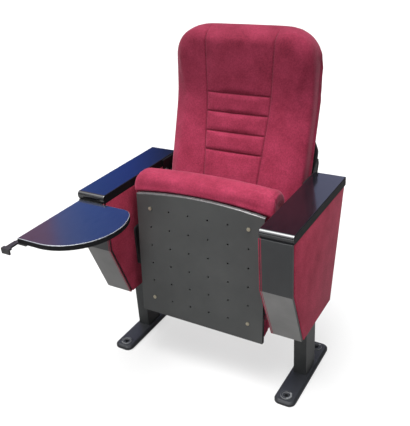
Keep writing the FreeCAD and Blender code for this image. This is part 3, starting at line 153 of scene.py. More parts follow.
def apply_modifier(piece, kind, name, **settings):
    """Add one modifier, set it and apply it."""
    make_active(piece)
    modifier = piece.modifiers.new(name, kind)
    for key, value in settings.items():
        setattr(modifier, key, value)
    bpy.ops.object.modifier_apply(modifier=modifier.name)


def smooth_by_angle(piece, degrees):
    make_active(piece)
    bpy.ops.object.shade_smooth_by_angle(angle=math.radians(degrees))


def apply_place(piece):
    make_active(piece)
    bpy.ops.object.transform_apply(location=True, rotation=True, scale=True)


def merged_copy(node, name):
    """A new piece with the shape of a CAD node, its loose triangles merged and its flat faces whole."""
    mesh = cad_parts[node].data.copy()
    mesh.materials.clear()
    piece = bpy.data.objects.new(name, mesh)
    bpy.context.scene.collection.objects.link(piece)
    edit_all(piece)
    bpy.ops.mesh.remove_doubles(threshold=0.00001)
    bpy.ops.mesh.dissolve_limited(angle_limit=math.radians(0.8))
    object_mode()
    return piece


def finished(piece, finish, body, slot, *nodes):
    """Give a piece its finish, let it ride on a body and stand for the CAD nodes that it covers."""
    piece.data.materials.clear()
    piece.data.materials.append(finish)
    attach(piece, body)
    if nodes:
        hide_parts(*nodes)


# Finishes

def new_finish(name):
    finish = bpy.data.materials.new(name)
    finish.use_nodes = True
    tree = finish.node_tree
    return finish, tree, tree.nodes["Principled BSDF"]


def object_noise(tree, scale, detail, rough, stretch=(1, 1, 1)):
    """Noise on the piece's own coordinates, in features per metre."""
    place = tree.nodes.new("ShaderNodeTexCoord")
    mapping = tree.nodes.new("ShaderNodeMapping")
    mapping.inputs["Scale"].default_value = stretch
    noise = tree.nodes.new("ShaderNodeTexNoise")
    noise.inputs["Scale"].default_value = scale
    noise.inputs["Detail"].default_value = detail
    noise.inputs["Roughness"].default_value = rough
    tree.links.new(place.outputs["Object"], mapping.inputs["Vector"])
    tree.links.new(mapping.outputs["Vector"], noise.inputs["Vector"])
    return noise.outputs["Fac"]


def ramp(tree, factor, stops):
    """A colour along a factor, from stops of (position, colour)."""
    made = tree.nodes.new("ShaderNodeValToRGB")
    elements = made.color_ramp.elements
    for number, (position, colour) in enumerate((stops[0], stops[-1])):
        elements[number].position = position
        elements[number].color = (*colour, 1)
    for position, colour in stops[1:-1]:
        elements.new(position).color = (*colour, 1)
    tree.links.new(factor, made.inputs["Fac"])
    return made.outputs["Color"]


def blend_colours(tree, how, share, first, second):
    """Two colours blended; the share and the colours are plain values or sockets."""
    mix = tree.nodes.new("ShaderNodeMix")
    mix.data_type = "RGBA"
    mix.blend_type = how
    if isinstance(share, float):
        mix.inputs["Factor"].default_value = share
    else:
        tree.links.new(share, mix.inputs["Factor"])
    for socket, value in ((mix.inputs[6], first), (mix.inputs[7], second)):
        if isinstance(value, tuple):
            socket.default_value = (*value, 1)
        else:
            tree.links.new(value, socket)
    return mix.outputs[2]


def add_bump(tree, shader, height, strength, distance, under=None):
    bump = tree.nodes.new("ShaderNodeBump")
    bump.inputs["Strength"].default_value = strength
    bump.inputs["Distance"].default_value = distance
    tree.links.new(height, bump.inputs["Height"])
    if under is not None:
        tree.links.new(under, bump.inputs["Normal"])
    tree.links.new(bump.outputs["Normal"], shader.inputs["Normal"])
    return bump.outputs["Normal"]


def number_range(tree, value, low, high):
    made = tree.nodes.new("ShaderNodeMapRange")
    made.inputs["To Min"].default_value = low
    made.inputs["To Max"].default_value = high
    tree.links.new(value, made.inputs["Value"])
    return made.outputs["Result"]


def own_attribute(tree, name):
    """The number that a cushion keeps at each of its points under a name."""
    made = tree.nodes.new("ShaderNodeAttribute")
    made.attribute_name = name
    return made.outputs["Fac"]


def crimson_velvet(name, deep, light, sheen, is_cushion=False):
    """Short-pile velvet: fine fibres, broad random mottling, a pale sheen at the edges; on the cushions
    painted light and shade in its tone, and painted shade in the seams.
    """
    finish, tree, shader = new_finish(name)
    mottle_and_painted_light = object_noise(tree, 16, 5, 0.6)
    pile = object_noise(tree, 620, 3, 0.6)
    colour = ramp(tree, mottle_and_painted_light, ((0.30, deep), (0.72, light)))
    fleck = ramp(tree, pile, ((0.30, (0.72, 0.72, 0.72)), (0.70, (1.15, 1.12, 1.12))))
    colour = blend_colours(tree, "MULTIPLY", 1.0, colour, fleck)
    tuft = object_noise(tree, 210, 2, 0.5)
    speckle = ramp(tree, tuft, ((0.35, (0.86, 0.86, 0.86)), (0.65, (1.12, 1.12, 1.12))))
    colour = blend_colours(tree, "MULTIPLY", 1.0, colour, speckle)
    # On the cushions the tone is scaled by painted light and shade kept at each point, and painted shade
    # darkens the seams
    if is_cushion:
        dark = tuple(0.35 * part for part in deep)
        colour = blend_colours(tree, "MULTIPLY", 1.0, colour, own_attribute(tree, "painted_light_tone"))
        colour = blend_colours(tree, "MIX", own_attribute(tree, "seam_and_painted_shade"), colour, dark)
    tree.links.new(colour, shader.inputs["Base Color"])
    shader.inputs["Roughness"].default_value = 0.88
    shader.inputs["Specular IOR Level"].default_value = 0.12
    shader.inputs["Sheen Weight"].default_value = sheen
    shader.inputs["Sheen Roughness"].default_value = 0.38
    shader.inputs["Sheen Tint"].default_value = (1.0, 0.50, 0.60, 1)
    under = add_bump(tree, shader, mottle_and_painted_light, 0.20, 0.003)
    add_bump(tree, shader, pile, 0.45, 0.0006, under)
    return finish


def charcoal_board(name, dark, light, roughness, gloss=0.5):
    """Satin laminate on board: faint cloudy tone, fine orange peel and uneven gloss."""
    finish, tree, shader = new_finish(name)
    cloud = object_noise(tree, 9, 4, 0.6)
    peel = object_noise(tree, 900, 2, 0.5)
    tree.links.new(ramp(tree, cloud, ((0.3, dark), (0.7, light))), shader.inputs["Base Color"])
    tree.links.new(number_range(tree, cloud, roughness - 0.05, roughness + 0.07), shader.inputs["Roughness"])
    shader.inputs["Specular IOR Level"].default_value = gloss
    add_bump(tree, shader, peel, 0.12, 0.0003)
    return finish


def polished_lacquer(name, dark, light, roughness, gloss=0.40, coat=0.30):
    """Polished near-black lacquer with a faint wood grain under it and fine rubbing marks."""
    finish, tree, shader = new_finish(name)
    grain = object_noise(tree, 22, 6, 0.62, (9, 1, 9))
    rubbed = object_noise(tree, 55, 5, 0.7)
    tree.links.new(ramp(tree, grain, ((0.35, dark), (0.7, light))), shader.inputs["Base Color"])
    tree.links.new(number_range(tree, rubbed, roughness - 0.04, roughness + 0.08), shader.inputs["Roughness"])
    shader.inputs["Specular IOR Level"].default_value = gloss
    shader.inputs["Coat Weight"].default_value = coat
    shader.inputs["Coat Roughness"].default_value = 0.06
    add_bump(tree, shader, rubbed, 0.03, 0.0004)
    return finish


def painted_steel(name, dark, light, roughness, gloss=0.5):
    """Powder-coated steel with its fine pebble and slightly worn, lighter patches."""
    finish, tree, shader = new_finish(name)
    wear = object_noise(tree, 18, 6, 0.65)
    pebble = object_noise(tree, 1400, 2, 0.5)
    tree.links.new(ramp(tree, wear, ((0.35, dark), (0.75, light))), shader.inputs["Base Color"])
    tree.links.new(number_range(tree, wear, roughness - 0.06, roughness + 0.06), shader.inputs["Roughness"])
    shader.inputs["Specular IOR Level"].default_value = gloss
    add_bump(tree, shader, pebble, 0.20, 0.0003)
    return finish


def cast_metal(name, dark, light):
    """Painted casting: coarse sand texture under the paint."""
    finish, tree, shader = new_finish(name)
    sand = object_noise(tree, 320, 5, 0.6)
    patch = object_noise(tree, 14, 4, 0.6)
    tree.links.new(ramp(tree, patch, ((0.3, dark), (0.7, light))), shader.inputs["Base Color"])
    tree.links.new(number_range(tree, sand, 0.42, 0.62), shader.inputs["Roughness"])
    add_bump(tree, shader, sand, 0.35, 0.0006)
    return finish


def zinc_steel(name, dark, light, roughness):
    """Bright plated steel with faint turning marks."""
    finish, tree, shader = new_finish(name)
    marks = object_noise(tree, 160, 4, 0.6, (1, 6, 1))
    tree.links.new(ramp(tree, marks, ((0.3, dark), (0.7, light))), shader.inputs["Base Color"])
    tree.links.new(number_range(tree, marks, roughness - 0.06, roughness + 0.1), shader.inputs["Roughness"])
    shader.inputs["Metallic"].default_value = 1.0
    add_bump(tree, shader, marks, 0.05, 0.0003)
    return finish


def raw_plywood(name, tones):
    """Plywood, raw or painted near black for shade: long grain with paler and darker plies."""
    finish, tree, shader = new_finish(name)
    grain = object_noise(tree, 30, 6, 0.6, (1, 8, 8))
    stops = tuple(zip((0.3, 0.55, 0.75), tones))
    tree.links.new(ramp(tree, grain, stops), shader.inputs["Base Color"])
    shader.inputs["Roughness"].default_value = 0.72
    add_bump(tree, shader, grain, 0.15, 0.0005)
    return finish


def moulded(name, dark, light, roughness, gloss=0.5):
    """Plain moulded plastic or rubber with a fine skin."""
    finish, tree, shader = new_finish(name)
    skin = object_noise(tree, 260, 3, 0.5)
    tree.links.new(ramp(tree, skin, ((0.3, dark), (0.7, light))), shader.inputs["Base Color"])
    tree.links.new(number_range(tree, skin, roughness - 0.05, roughness + 0.05), shader.inputs["Roughness"])
    shader.inputs["Specular IOR Level"].default_value = gloss
    add_bump(tree, shader, skin, 0.10, 0.0003)
    return finish


CRIMSON = ((0.200, 0.018, 0.042), (0.295, 0.032, 0.071))
VELVET = crimson_velvet("crimson_velvet", *CRIMSON, 0.30, is_cushion=True)
SIDE_VELVET = crimson_velvet("crimson_panel_velvet", (0.280, 0.026, 0.054), (0.430, 0.046, 0.090), 0.12)
THREAD = moulded("crimson_thread", (0.10, 0.006, 0.016), (0.15, 0.010, 0.026), 0.70)
SEAT_LAMINATE = charcoal_board("seat_panel_laminate", (0.036, 0.038, 0.038), (0.052, 0.054, 0.053), 0.42)
FASCIA_LAMINATE = charcoal_board("fascia_laminate", (0.018, 0.019, 0.021), (0.028, 0.030, 0.032), 0.40)
# The fascia's lower slope is painted pale grey: a painted reflection of the bright floor
PAINTED_REFLECTION_SLOPE = charcoal_board("fascia_slope_painted_reflection", (0.150, 0.148, 0.146), (0.205, 0.202, 0.198), 0.40)
SHELL_PLASTIC = charcoal_board("back_shell_plastic", (0.009, 0.009, 0.010), (0.016, 0.016, 0.018), 0.50,
                               gloss=0.25)
PANEL_EDGE = polished_lacquer("seat_panel_edge", (0.020, 0.020, 0.022), (0.032, 0.032, 0.034), 0.16)
# The seat panel's arch rim is painted pale: a painted highlight along its top edge
PAINTED_HIGHLIGHT_ARCH = polished_lacquer("seat_panel_arch_painted_highlight", (0.060, 0.058, 0.060), (0.10, 0.096, 0.098), 0.20)
EDGE_BAND = moulded("board_edge_band", (0.006, 0.006, 0.007), (0.011, 0.011, 0.012), 0.62, gloss=0.12)
# The faint blue tint of the armrest and tablet lacquers is a painted blue reflection
ARMREST_LACQUER = polished_lacquer("armrest_lacquer", (0.004, 0.004, 0.006), (0.008, 0.007, 0.010), 0.15)
NOSE_LACQUER = polished_lacquer("armrest_nose_lacquer", (0.008, 0.008, 0.010), (0.014, 0.014, 0.017), 0.12,
                                gloss=0.9, coat=1.0)
TABLET_LACQUER = polished_lacquer("tablet_lacquer", (0.008, 0.011, 0.024), (0.016, 0.020, 0.040), 0.13)
# The tablet's rounded rim is painted pale: a painted highlight
PAINTED_HIGHLIGHT_RIM = polished_lacquer("tablet_rim_painted_highlight", (0.20, 0.21, 0.24), (0.32, 0.33, 0.36), 0.24)
# The foot's raised rings are painted pale: a painted highlight
PAINTED_HIGHLIGHT_RINGS = painted_steel("foot_rings_painted_highlight", (0.11, 0.115, 0.12), (0.19, 0.195, 0.20), 0.38)
POST_PAINT = painted_steel("post_powder_coat", (0.024, 0.026, 0.027), (0.042, 0.045, 0.046), 0.42)
BRACKET_PAINT = painted_steel("bracket_black_paint", (0.010, 0.010, 0.012), (0.022, 0.022, 0.024), 0.42)
DULL_BRACKET = painted_steel("back_bracket_dull_black", (0.005, 0.005, 0.006), (0.010, 0.010, 0.011), 0.55,
                             gloss=0.2)
FOOT_PAINT = cast_metal("foot_casting_paint", (0.010, 0.011, 0.014), (0.019, 0.021, 0.026))
ZINC = zinc_steel("zinc_plated_steel", (0.48, 0.49, 0.50), (0.68, 0.69, 0.70), 0.34)
BRASSY_ZINC = zinc_steel("yellow_zinc_screws", (0.34, 0.30, 0.22), (0.50, 0.46, 0.36), 0.44)
PLYWOOD = raw_plywood("raw_plywood", ((0.36, 0.22, 0.11), (0.52, 0.36, 0.20), (0.62, 0.46, 0.29)))
# The seat board behind the perforations is painted near black: painted shade, so that the holes read dark
PAINTED_SHADE_PLYWOOD = raw_plywood("plywood_painted_shade_black",
                              ((0.008, 0.008, 0.008), (0.014, 0.013, 0.012), (0.020, 0.019, 0.018)))
NYLON = moulded("natural_nylon", (0.62, 0.61, 0.56), (0.74, 0.73, 0.68), 0.45)
RUBBER = moulded("buffer_rubber", (0.012, 0.012, 0.013), (0.022, 0.022, 0.023), 0.78)


def dress_cad_nodes():
    """Give every CAD node that stays in sight or inside the chair its finish."""
    finishes = {
        "armrest_screws": ZINC, "seat_bracket_bolts": ZINC, "seat_bracket_spacers": ZINC,
        "seat_panel_screws": BRASSY_ZINC, "back_bolts": ZINC, "back_spacers": ZINC, "back_shell_screws": ZINC,
        "hinge_block_screws": ZINC, "tablet_hinge_pin": ZINC, "tablet_hinge_nut": ZINC, "tablet_screws": ZINC,
        "tablet_friction_washer": NYLON, "tablet_hinge_block": BRACKET_PAINT, "tablet_arm": BRACKET_PAINT,
        "seat_buffers": RUBBER, "seat_board": PAINTED_SHADE_PLYWOOD, "seat_frame": BRACKET_PAINT,
        "seat_panel": SEAT_LAMINATE, "back_shell": SHELL_PLASTIC, "tablet_board": TABLET_LACQUER,
        "seat_cushion": SIDE_VELVET, "back_cushion": SIDE_VELVET,
    }
    for side in SIDES:
        finishes.update({
            side + "_foot": FOOT_PAINT, side + "_post": POST_PAINT, side + "_arm_carrier": BRACKET_PAINT,
            side + "_armrest": ARMREST_LACQUER, side + "_fascia": FASCIA_LAMINATE,
            side + "_rear_cover": FASCIA_LAMINATE, side + "_bottom_cover": FASCIA_LAMINATE,
            side + "_ribs": PLYWOOD,
            side + "_outer_panel": SIDE_VELVET, side + "_inner_panel": SIDE_VELVET,
            side + "_seat_bracket": BRACKET_PAINT, side + "_hinge_plate": BRACKET_PAINT,
            side + "_back_bracket": DULL_BRACKET, side + "_back_anchor": BRACKET_PAINT,
            side + "_seat_bush": NYLON, side + "_return_spring": ZINC, side + "_pivot_pin": ZINC,
        })
    for node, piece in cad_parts.items():
        finish = finishes[node]
        for number in range(len(piece.material_slots)):
            piece.material_slots[number].material = finish
        if not piece.material_slots:
            piece.data.materials.append(finish)


# Upholstered side panels

def make_side_panel(side, face):
    """Fabric drawn tight over one board of an arm box, its edges rolled round."""
    node = f"{side}_{face}_panel"
    panel = merged_copy(node, node + "_upholstery")
    apply_modifier(panel, "BEVEL", "rolled_edge", width=FABRIC_ROLL, segments=3, limit_method="ANGLE",
                   angle_limit=math.radians(50))
    smooth_by_angle(panel, 40)
    finished(panel, SIDE_VELVET, "stand", "red_fabric", node)


# Bevelled copies of boards and castings

def make_bevelled(node, width, finish, body, slot, segments=2):
    """A CAD board or casting with its sharp edges broken, as the real one has them."""
    piece = merged_copy(node, node + "_finished")
    apply_modifier(piece, "BEVEL", "broken_edge", width=width, segments=segments, limit_method="ANGLE",
                   angle_limit=math.radians(40), use_clamp_overlap=True)
    smooth_by_angle(piece, 35)
    apply_modifier(piece, "WEIGHTED_NORMAL", "flat_faces", keep_sharp=True, weight=100)
    finished(piece, finish, body, slot, node)
    return piece


def paint_faces(piece, choose, *finishes):
    """Add finishes to a piece; choose(face) gives the number of the one that a face wears."""
    for finish in finishes:
        piece.data.materials.append(finish)
    for face in piece.data.polygons:
        face.material_index = int(choose(face))


def is_fascia_slope(face):
    return face.normal.z < -0.15 and face.normal.y < -0.5


def make_fascia(side):
    """The folded front board: dark above its bend, painted paler on the slope below as a painted reflection
    of the floor.
    """
    board = make_bevelled(side + "_fascia", BOARD_EDGE, FASCIA_LAMINATE, "stand", "black_laminate")
    paint_faces(board, is_fascia_slope, PAINTED_REFLECTION_SLOPE)


def make_armrest(side):
    """A lacquered armrest board: a duller black band along its long edges and a polished round nose."""
    board = make_bevelled(side + "_armrest", ARMREST_EDGE, ARMREST_LACQUER, "stand", "gloss_black")

    def band_or_nose(face):
        if abs(face.normal.x) > 0.8:
            return 1
        return 2 if face.normal.y < -0.15 and face.normal.z > 0.05 else 0

    paint_faces(board, band_or_nose, EDGE_BAND, NOSE_LACQUER)


def make_seat_panel():
    """The perforated seat panel: satin faces, polished edges and an arch painted pale as a highlight."""
    panel = make_bevelled("seat_panel", PANEL_RIM, SEAT_LAMINATE, "seat", "black_laminate")
    outward = Vector((0, -math.sin(SEAT_LEAN), -math.cos(SEAT_LEAN)))
    side_band = 0.020
    arch_start = 0.180

    def edge_or_arch(face):
        if abs(face.normal.dot(outward)) >= 0.95:
            return 0
        local = seat_local(face.center)
        if abs(local.x) > SEAT_HALF - side_band and abs(face.normal.x) > 0.5:
            return 1
        return 2 if local.y > arch_start else 0

    paint_faces(panel, edge_or_arch, PANEL_EDGE, PAINTED_HIGHLIGHT_ARCH)


def make_foot(side, sign):
    """A painted casting whose raised bolt rings are painted paler as a highlight."""
    casting = make_bevelled(side + "_foot", FOOT_EDGE, FOOT_PAINT, "stand", "cast_foot")

    def is_ring(face):
        spot = face.center
        reach = math.hypot(spot.x - sign * FLOOR_HOLES[0], abs(spot.y) - FLOOR_HOLES[1])
        return RING_RADII[0] < reach < RING_RADII[1] and spot.z > RING_LOW

    paint_faces(casting, is_ring, PAINTED_HIGHLIGHT_RINGS)


def make_tablet_board():
    """The lacquered writing board: a dull black edge, and its rounded top rim painted pale as a highlight."""
    board = make_bevelled("tablet_board", THIN_EDGE, TABLET_LACQUER, "tablet", "gloss_black")

    def rim_or_edge(face):
        rise = face.normal.z
        if abs(rise) <= 0.30:
            return 2
        return 1 if 0.30 < rise < 0.97 else 0

    paint_faces(board, rim_or_edge, PAINTED_HIGHLIGHT_RIM, EDGE_BAND)


def make_welt(name, side, sign, step):
    """One thin red bead of the inner panel's double welt, a step from the fascia's inner edge."""
    low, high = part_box(side + "_fascia")
    x = sign * (min(abs(low[0]), abs(high[0])) + step)
    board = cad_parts[side + "_fascia"].data
    slope = [face for face in board.polygons if is_fascia_slope(face)]
    points = [board.vertices[number].co for face in slope for number in face.vertices]
    bend = max(point.z for point in points)
    toe = min(points, key=lambda point: point.z).y
    clear_selection()
    line = bpy.data.curves.new(name, "CURVE")
    line.dimensions = "3D"
    line.bevel_depth = WELT_RADIUS
    line.bevel_resolution = 3
    line.use_fill_caps = True
    spline = line.splines.new("POLY")
    route = ((x, low[1] + WELT_INSET, high[2]), (x, low[1] + WELT_INSET, bend), (x, toe + WELT_INSET, low[2]))
    spline.points.add(len(route) - 1)
    for point, spot in zip(spline.points, route):
        point.co = (*spot, 1)
    welt = bpy.data.objects.new(name, line)
    bpy.context.scene.collection.objects.link(welt)
    make_active(welt)
    bpy.ops.object.convert(target="MESH")
    welt = bpy.context.active_object
    smooth_by_angle(welt, 50)
    finished(welt, SIDE_VELVET, "stand", "red_fabric")


# Cushions

def back_front(height):
    """Where the flat line of the back's front lies at a height."""
    lean = BACK_LEANS[0] if height < BACK_BEND[1] else BACK_LEANS[1]
    return BACK_BEND[0] + (height - BACK_BEND[1]) * math.tan(lean)


def seam_half_width(height):
    """Half the distance between the two upright seams at a height."""
    for (low, narrow), (high, wide) in zip(UPRIGHT_SEAMS, UPRIGHT_SEAMS[1:]):
        if height <= high:
            return narrow + (wide - narrow) * (height - low) / (high - low)
    return UPRIGHT_SEAMS[-1][1]


def seat_local(point):
    """A point of the tipped-up seat as (across, forward along the seat, up from the seat)."""
    turned = Matrix.Rotation(SEAT_LEAN, 3, "X") @ (point - SEAT_PIVOT)
    return Vector((turned.x, -turned.y, turned.z))


def inflate(piece, cap, held):
    """Blow a cushion up with cloth, hold the points that rest on board, and cap how far a point moves."""
    before = [point.co.copy() for point in piece.data.vertices]
    group = piece.vertex_groups.new(name="held")
    for point in piece.data.vertices:
        if held(point.co):
            group.add([point.index], 1.0, "REPLACE")
    make_active(piece)
    cloth = piece.modifiers.new("padding", "CLOTH")
    cloth.settings.quality = 6
    cloth.settings.mass = 0.25
    cloth.settings.tension_stiffness = 18
    cloth.settings.compression_stiffness = 18
    cloth.settings.bending_stiffness = 0.8
    cloth.settings.use_pressure = True
    cloth.settings.uniform_pressure_force = PADDING_PRESSURE
    cloth.settings.vertex_group_mass = "held"
    cloth.settings.effector_weights.gravity = 0
    cloth.collision_settings.use_self_collision = False
    cloth.collision_settings.use_collision = False
    cloth.point_cache.frame_start = 1
    cloth.point_cache.frame_end = PADDING_FRAMES
    for number in range(1, PADDING_FRAMES + 1):
        bpy.context.scene.frame_set(number)
    bpy.ops.object.modifier_apply(modifier=cloth.name)
    bpy.context.scene.frame_set(1)
    for point, start in zip(piece.data.vertices, before):
        step = point.co - start
        if step.length > cap:
            point.co = start + step * (cap / step.length)
    piece.vertex_groups.clear()


def cushion_blank(node, name, voxel):
    """A slightly small copy of a CAD cushion, remeshed evenly for the cloth."""
    blank = merged_copy(node, name)
    edit_all(blank)
    bpy.ops.mesh.normals_make_consistent(inside=False)
    bpy.ops.transform.shrink_fatten(value=-PADDING_SHRINK)
    object_mode()
    blank.data.remesh_voxel_size = voxel
    blank.data.remesh_voxel_adaptivity = 0.0
    make_active(blank)
    bpy.ops.object.voxel_remesh()
    apply_modifier(blank, "SMOOTH", "ease", factor=0.5, iterations=9)
    return blank


def round_over(piece, share, rounds):
    """Ease the points of one stretch of a cushion; share(spot) runs from 0, left alone, to 1."""
    group = piece.vertex_groups.new(name="eased")
    for point in piece.data.vertices:
        weight = clamp(share(point.co))
        if weight > 0:
            group.add([point.index], weight, "REPLACE")
    apply_modifier(piece, "SMOOTH", "round_over", factor=0.5, iterations=rounds, vertex_group="eased")
    piece.vertex_groups.clear()


def mark_points(piece, name, values):
    """Keep a number at each point of a piece, for its finish."""
    layer = piece.data.attributes.new(name, "FLOAT", "POINT")
    layer.data.foreach_set("value", values)


def sew(piece, grooves, tufts, mottle_and_painted_light):
    """Press the seam lines into a cushion and let the fabric swell between them.

    grooves(point, normal) gives how deep a point is pressed in and how much painted shade darkens it, tufts
    how far it swells, and the last function the factor of painted light and shade on its tone.
    """
    mesh = piece.data
    normals = [point.normal.copy() for point in mesh.vertices]
    seam_and_painted_shade, tones = [], []
    for point, normal in zip(mesh.vertices, normals):
        depth, dark = grooves(point.co, normal)
        swell = tufts(point.co, normal)
        seam_and_painted_shade.append(dark)
        tones.append(mottle_and_painted_light(point.co))
        point.co += normal * (swell - depth)
    mark_points(piece, "seam_and_painted_shade", seam_and_painted_shade)
    mark_points(piece, "painted_light_tone", tones)
    mesh.update()


def bell(distance, width):
    """1 on a line, falling softly to nothing a few widths away."""
    return math.exp(-(distance / width) ** 2)


def refine_along_seams(cushion):
    """Split the fabric finer beside the back's seam lines, so that they can be narrow."""
    make_active(cushion)
    bpy.ops.object.mode_set(mode="EDIT")
    bpy.ops.mesh.select_all(action="DESELECT")
    bpy.ops.mesh.select_mode(type="FACE")
    object_mode()
    for face in cushion.data.polygons:
        spot = face.center
        half = seam_half_width(spot.z)
        by_upright = abs(abs(spot.x) - half) < SEAM_REACH
        by_cross = abs(spot.x) < half and min(abs(spot.z - height) for height in CROSS_SEAMS) < SEAM_REACH
        face.select = face.normal.y < -SEAM_FACING and (by_upright or by_cross)
    bpy.ops.object.mode_set(mode="EDIT")
    bpy.ops.mesh.subdivide(number_cuts=1)
    object_mode()


def make_back_cushion():
    """The back: one crowned body, two upright seams, four cross seams between them and boxed sides."""
    boxing_behind = 0.070
    boxing_foot = 0.45
    boxing_width = 0.0030
    crown_depth = 0.085
    crown_fade = 0.040
    seam_end = 0.002
    channel_ends = (0.40, 1.0)
    cushion = cushion_blank("back_cushion", "back_cushion_upholstery", 0.0064)
    inflate(cushion, 0.009, lambda spot: spot.y > back_front(spot.z) + boxing_behind)
    round_over(cushion, lambda spot: (spot.z - BACK_TOP + crown_depth) / crown_fade, 30)
    apply_modifier(cushion, "SUBSURF", "fine", levels=1, render_levels=1)
    refine_along_seams(cushion)

    def front_share(normal):
        return clamp((-normal.y - SEAM_FACING) / 0.35)

    def grooves(spot, normal):
        face = front_share(normal)
        half = seam_half_width(spot.z)
        upright = bell(abs(spot.x) - half, SEAM_WIDTH)
        inside = clamp((half + seam_end - abs(spot.x)) / (2 * seam_end))
        cross = max(bell(spot.z - height, SEAM_WIDTH) for height in CROSS_SEAMS) * inside
        seam_and_painted_shade = max(upright, cross) * face
        behind = spot.y - back_front(spot.z)
        side = max(0.0, 1 - face * 2)
        boxing = bell(behind - boxing_behind, boxing_width) * side if spot.z > boxing_foot else 0.0
        # The second number is painted shade darkening the fabric in the seam and boxing grooves
        return 0.0024 * seam_and_painted_shade + 0.0016 * boxing, min(1.0, 0.50 * seam_and_painted_shade ** 2 + 0.40 * boxing ** 2)

    def tufts(spot, normal):
        face = front_share(normal)
        half = seam_half_width(spot.z)
        across = spot.x / half
        if abs(across) > 1:
            beyond = (abs(spot.x) - half) / (BACK_HALF - half)
            return 0.0025 * face * math.sin(math.pi * clamp(beyond)) ** 0.8
        edges = (channel_ends[0], *CROSS_SEAMS, channel_ends[1])
        for low, high in zip(edges, edges[1:]):
            if low <= spot.z < high:
                share = (spot.z - low) / (high - low)
                return 0.0022 * face * (1 - across ** 4) * min(1.0, 1.6 * math.sin(math.pi * share))
        return 0.0

    # Painted light and shade: the back's tone is painted paler low down and darker high up, as the overhead
    # light falls on it
    def mottle_and_painted_light(spot):
        share = clamp((spot.z - PAINTED_LIGHT_HEIGHTS[0]) / (PAINTED_LIGHT_HEIGHTS[1] - PAINTED_LIGHT_HEIGHTS[0]))
        return PAINTED_LIGHT_TONES[0] + (PAINTED_LIGHT_TONES[1] - PAINTED_LIGHT_TONES[0]) * share * share * (3 - 2 * share)

    sew(cushion, grooves, tufts, mottle_and_painted_light)
    smooth_by_angle(cushion, 60)
    finished(cushion, VELVET, "stand", "red_fabric", "back_cushion")
    return cushion


def make_seat_cushion():
    """The seat: a deep crowned pad with a full rolled nose over the panel's arched edge.

    Places on it are given along the seat, forward of its pivot line, and up from it.
    """
    board_front = 0.216
    board_top = -0.052
    nose_start = 0.125
    seam_inset = 0.010
    seam_low = -0.045
    hem_height = -0.050
    painted_light_start = 0.185
    painted_light_end = 0.238
    painted_light_top = -0.046
    cushion = cushion_blank("seat_cushion", "seat_cushion_upholstery", 0.006)
    inflate(cushion, 0.0055,
            lambda spot: seat_local(spot).z < board_top and seat_local(spot).y < board_front)
    apply_modifier(cushion, "SUBSURF", "fine", levels=1, render_levels=1)

    def grooves(spot, normal):
        local = seat_local(spot)
        turned = seat_local(SEAT_PIVOT + normal)
        side = clamp((abs(turned.x) - 0.35) / 0.3)
        edge = SEAT_NOSE_HALF if local.y > nose_start else SEAT_HALF
        line = bell(abs(local.x) - edge + seam_inset, 0.0035)
        seam = line * (1 - 0.6 * side) if local.z > seam_low else 0.0
        hem = bell(local.z - hem_height, 0.0030) * side
        # The second number is painted shade darkening the fabric in the seam and hem grooves
        return 0.0028 * seam + 0.0018 * hem, min(1.0, 0.45 * seam ** 2 + 0.5 * hem ** 2)

    # Painted light: the nose front just above the panel's edge is painted paler, where it turns down into
    # shade
    def mottle_and_painted_light(spot):
        local = seat_local(spot)
        forward = local.y + SEAT_ARCH * (local.x / SEAT_HALF) ** 2
        above_panel = clamp((forward - painted_light_start) / 0.015) * clamp((painted_light_end - forward) / 0.022)
        return 1 + NOSE_PAINTED_LIGHT * above_panel * clamp((painted_light_top - local.z) / 0.020)

    sew(cushion, grooves, lambda spot, normal: 0.0, mottle_and_painted_light)
    smooth_by_angle(cushion, 60)
    finished(cushion, VELVET, "seat", "red_fabric", "seat_cushion")


def make_stitch(name):
    """One lock stitch: a short thread with rounded, sunken ends."""
    clear_selection()
    bpy.ops.mesh.primitive_cylinder_add(vertices=6, radius=STITCH_RADIUS, depth=STITCH_LENGTH,
                                        location=(0, 0, 0))
    stitch = bpy.context.active_object
    stitch.name = name
    edit_all(stitch)
    bpy.ops.mesh.subdivide(number_cuts=1)
    bpy.ops.mesh.select_all(action="DESELECT")
    mesh = bmesh.from_edit_mesh(stitch.data)
    for point in mesh.verts:
        point.select = abs(point.co.z) > STITCH_LENGTH / 4
    bmesh.update_edit_mesh(stitch.data)
    bpy.ops.transform.resize(value=(0.55, 0.55, 1.0))
    object_mode()
    return stitch


def make_back_stitching(cushion):
    """Rows of stitches that lie in the back's seam channels."""
    in_front = -0.5
    proud = 0.0002
    runs = []
    for sign in (-1, 1):
        for number in range(STITCH_COUNT):
            height = STITCH_FOOT + number * STITCH_PITCH
            runs.append((sign * seam_half_width(height), height, Vector((0, 0, 1))))
    for height in CROSS_SEAMS:
        half = seam_half_width(height)
        count = int(2 * half / STITCH_PITCH)
        for number in range(count):
            runs.append((-half + (number + 0.5) * 2 * half / count, height, Vector((1, 0, 0))))
    pattern = make_stitch("stitch_pattern")
    copies = []
    for x, z, along in runs:
        hit, spot, normal, _ = cushion.ray_cast(Vector((x, in_front, z)), Vector((0, 1, 0)))
        if not hit or normal.y > -0.3:
            continue
        run = (along - normal * along.dot(normal)).normalized()
        side = run.cross(normal)
        turn = Matrix((side, normal, run)).transposed().to_4x4()
        stitch = bpy.data.objects.new("back_stitch", pattern.data.copy())
        stitch.data.transform(Matrix.Translation(spot + normal * proud) @ turn)
        bpy.context.scene.collection.objects.link(stitch)
        copies.append(stitch)
    bpy.data.objects.remove(pattern)
    clear_selection()
    for stitch in copies:
        stitch.select_set(True)
    bpy.context.view_layer.objects.active = copies[0]
    bpy.ops.object.join()
    stitching = bpy.context.active_object
    stitching.name = "back_stitching"
    smooth_by_angle(stitching, 60)
    finished(stitching, THREAD, "stand", "red_fabric")


# Stage, light and camera

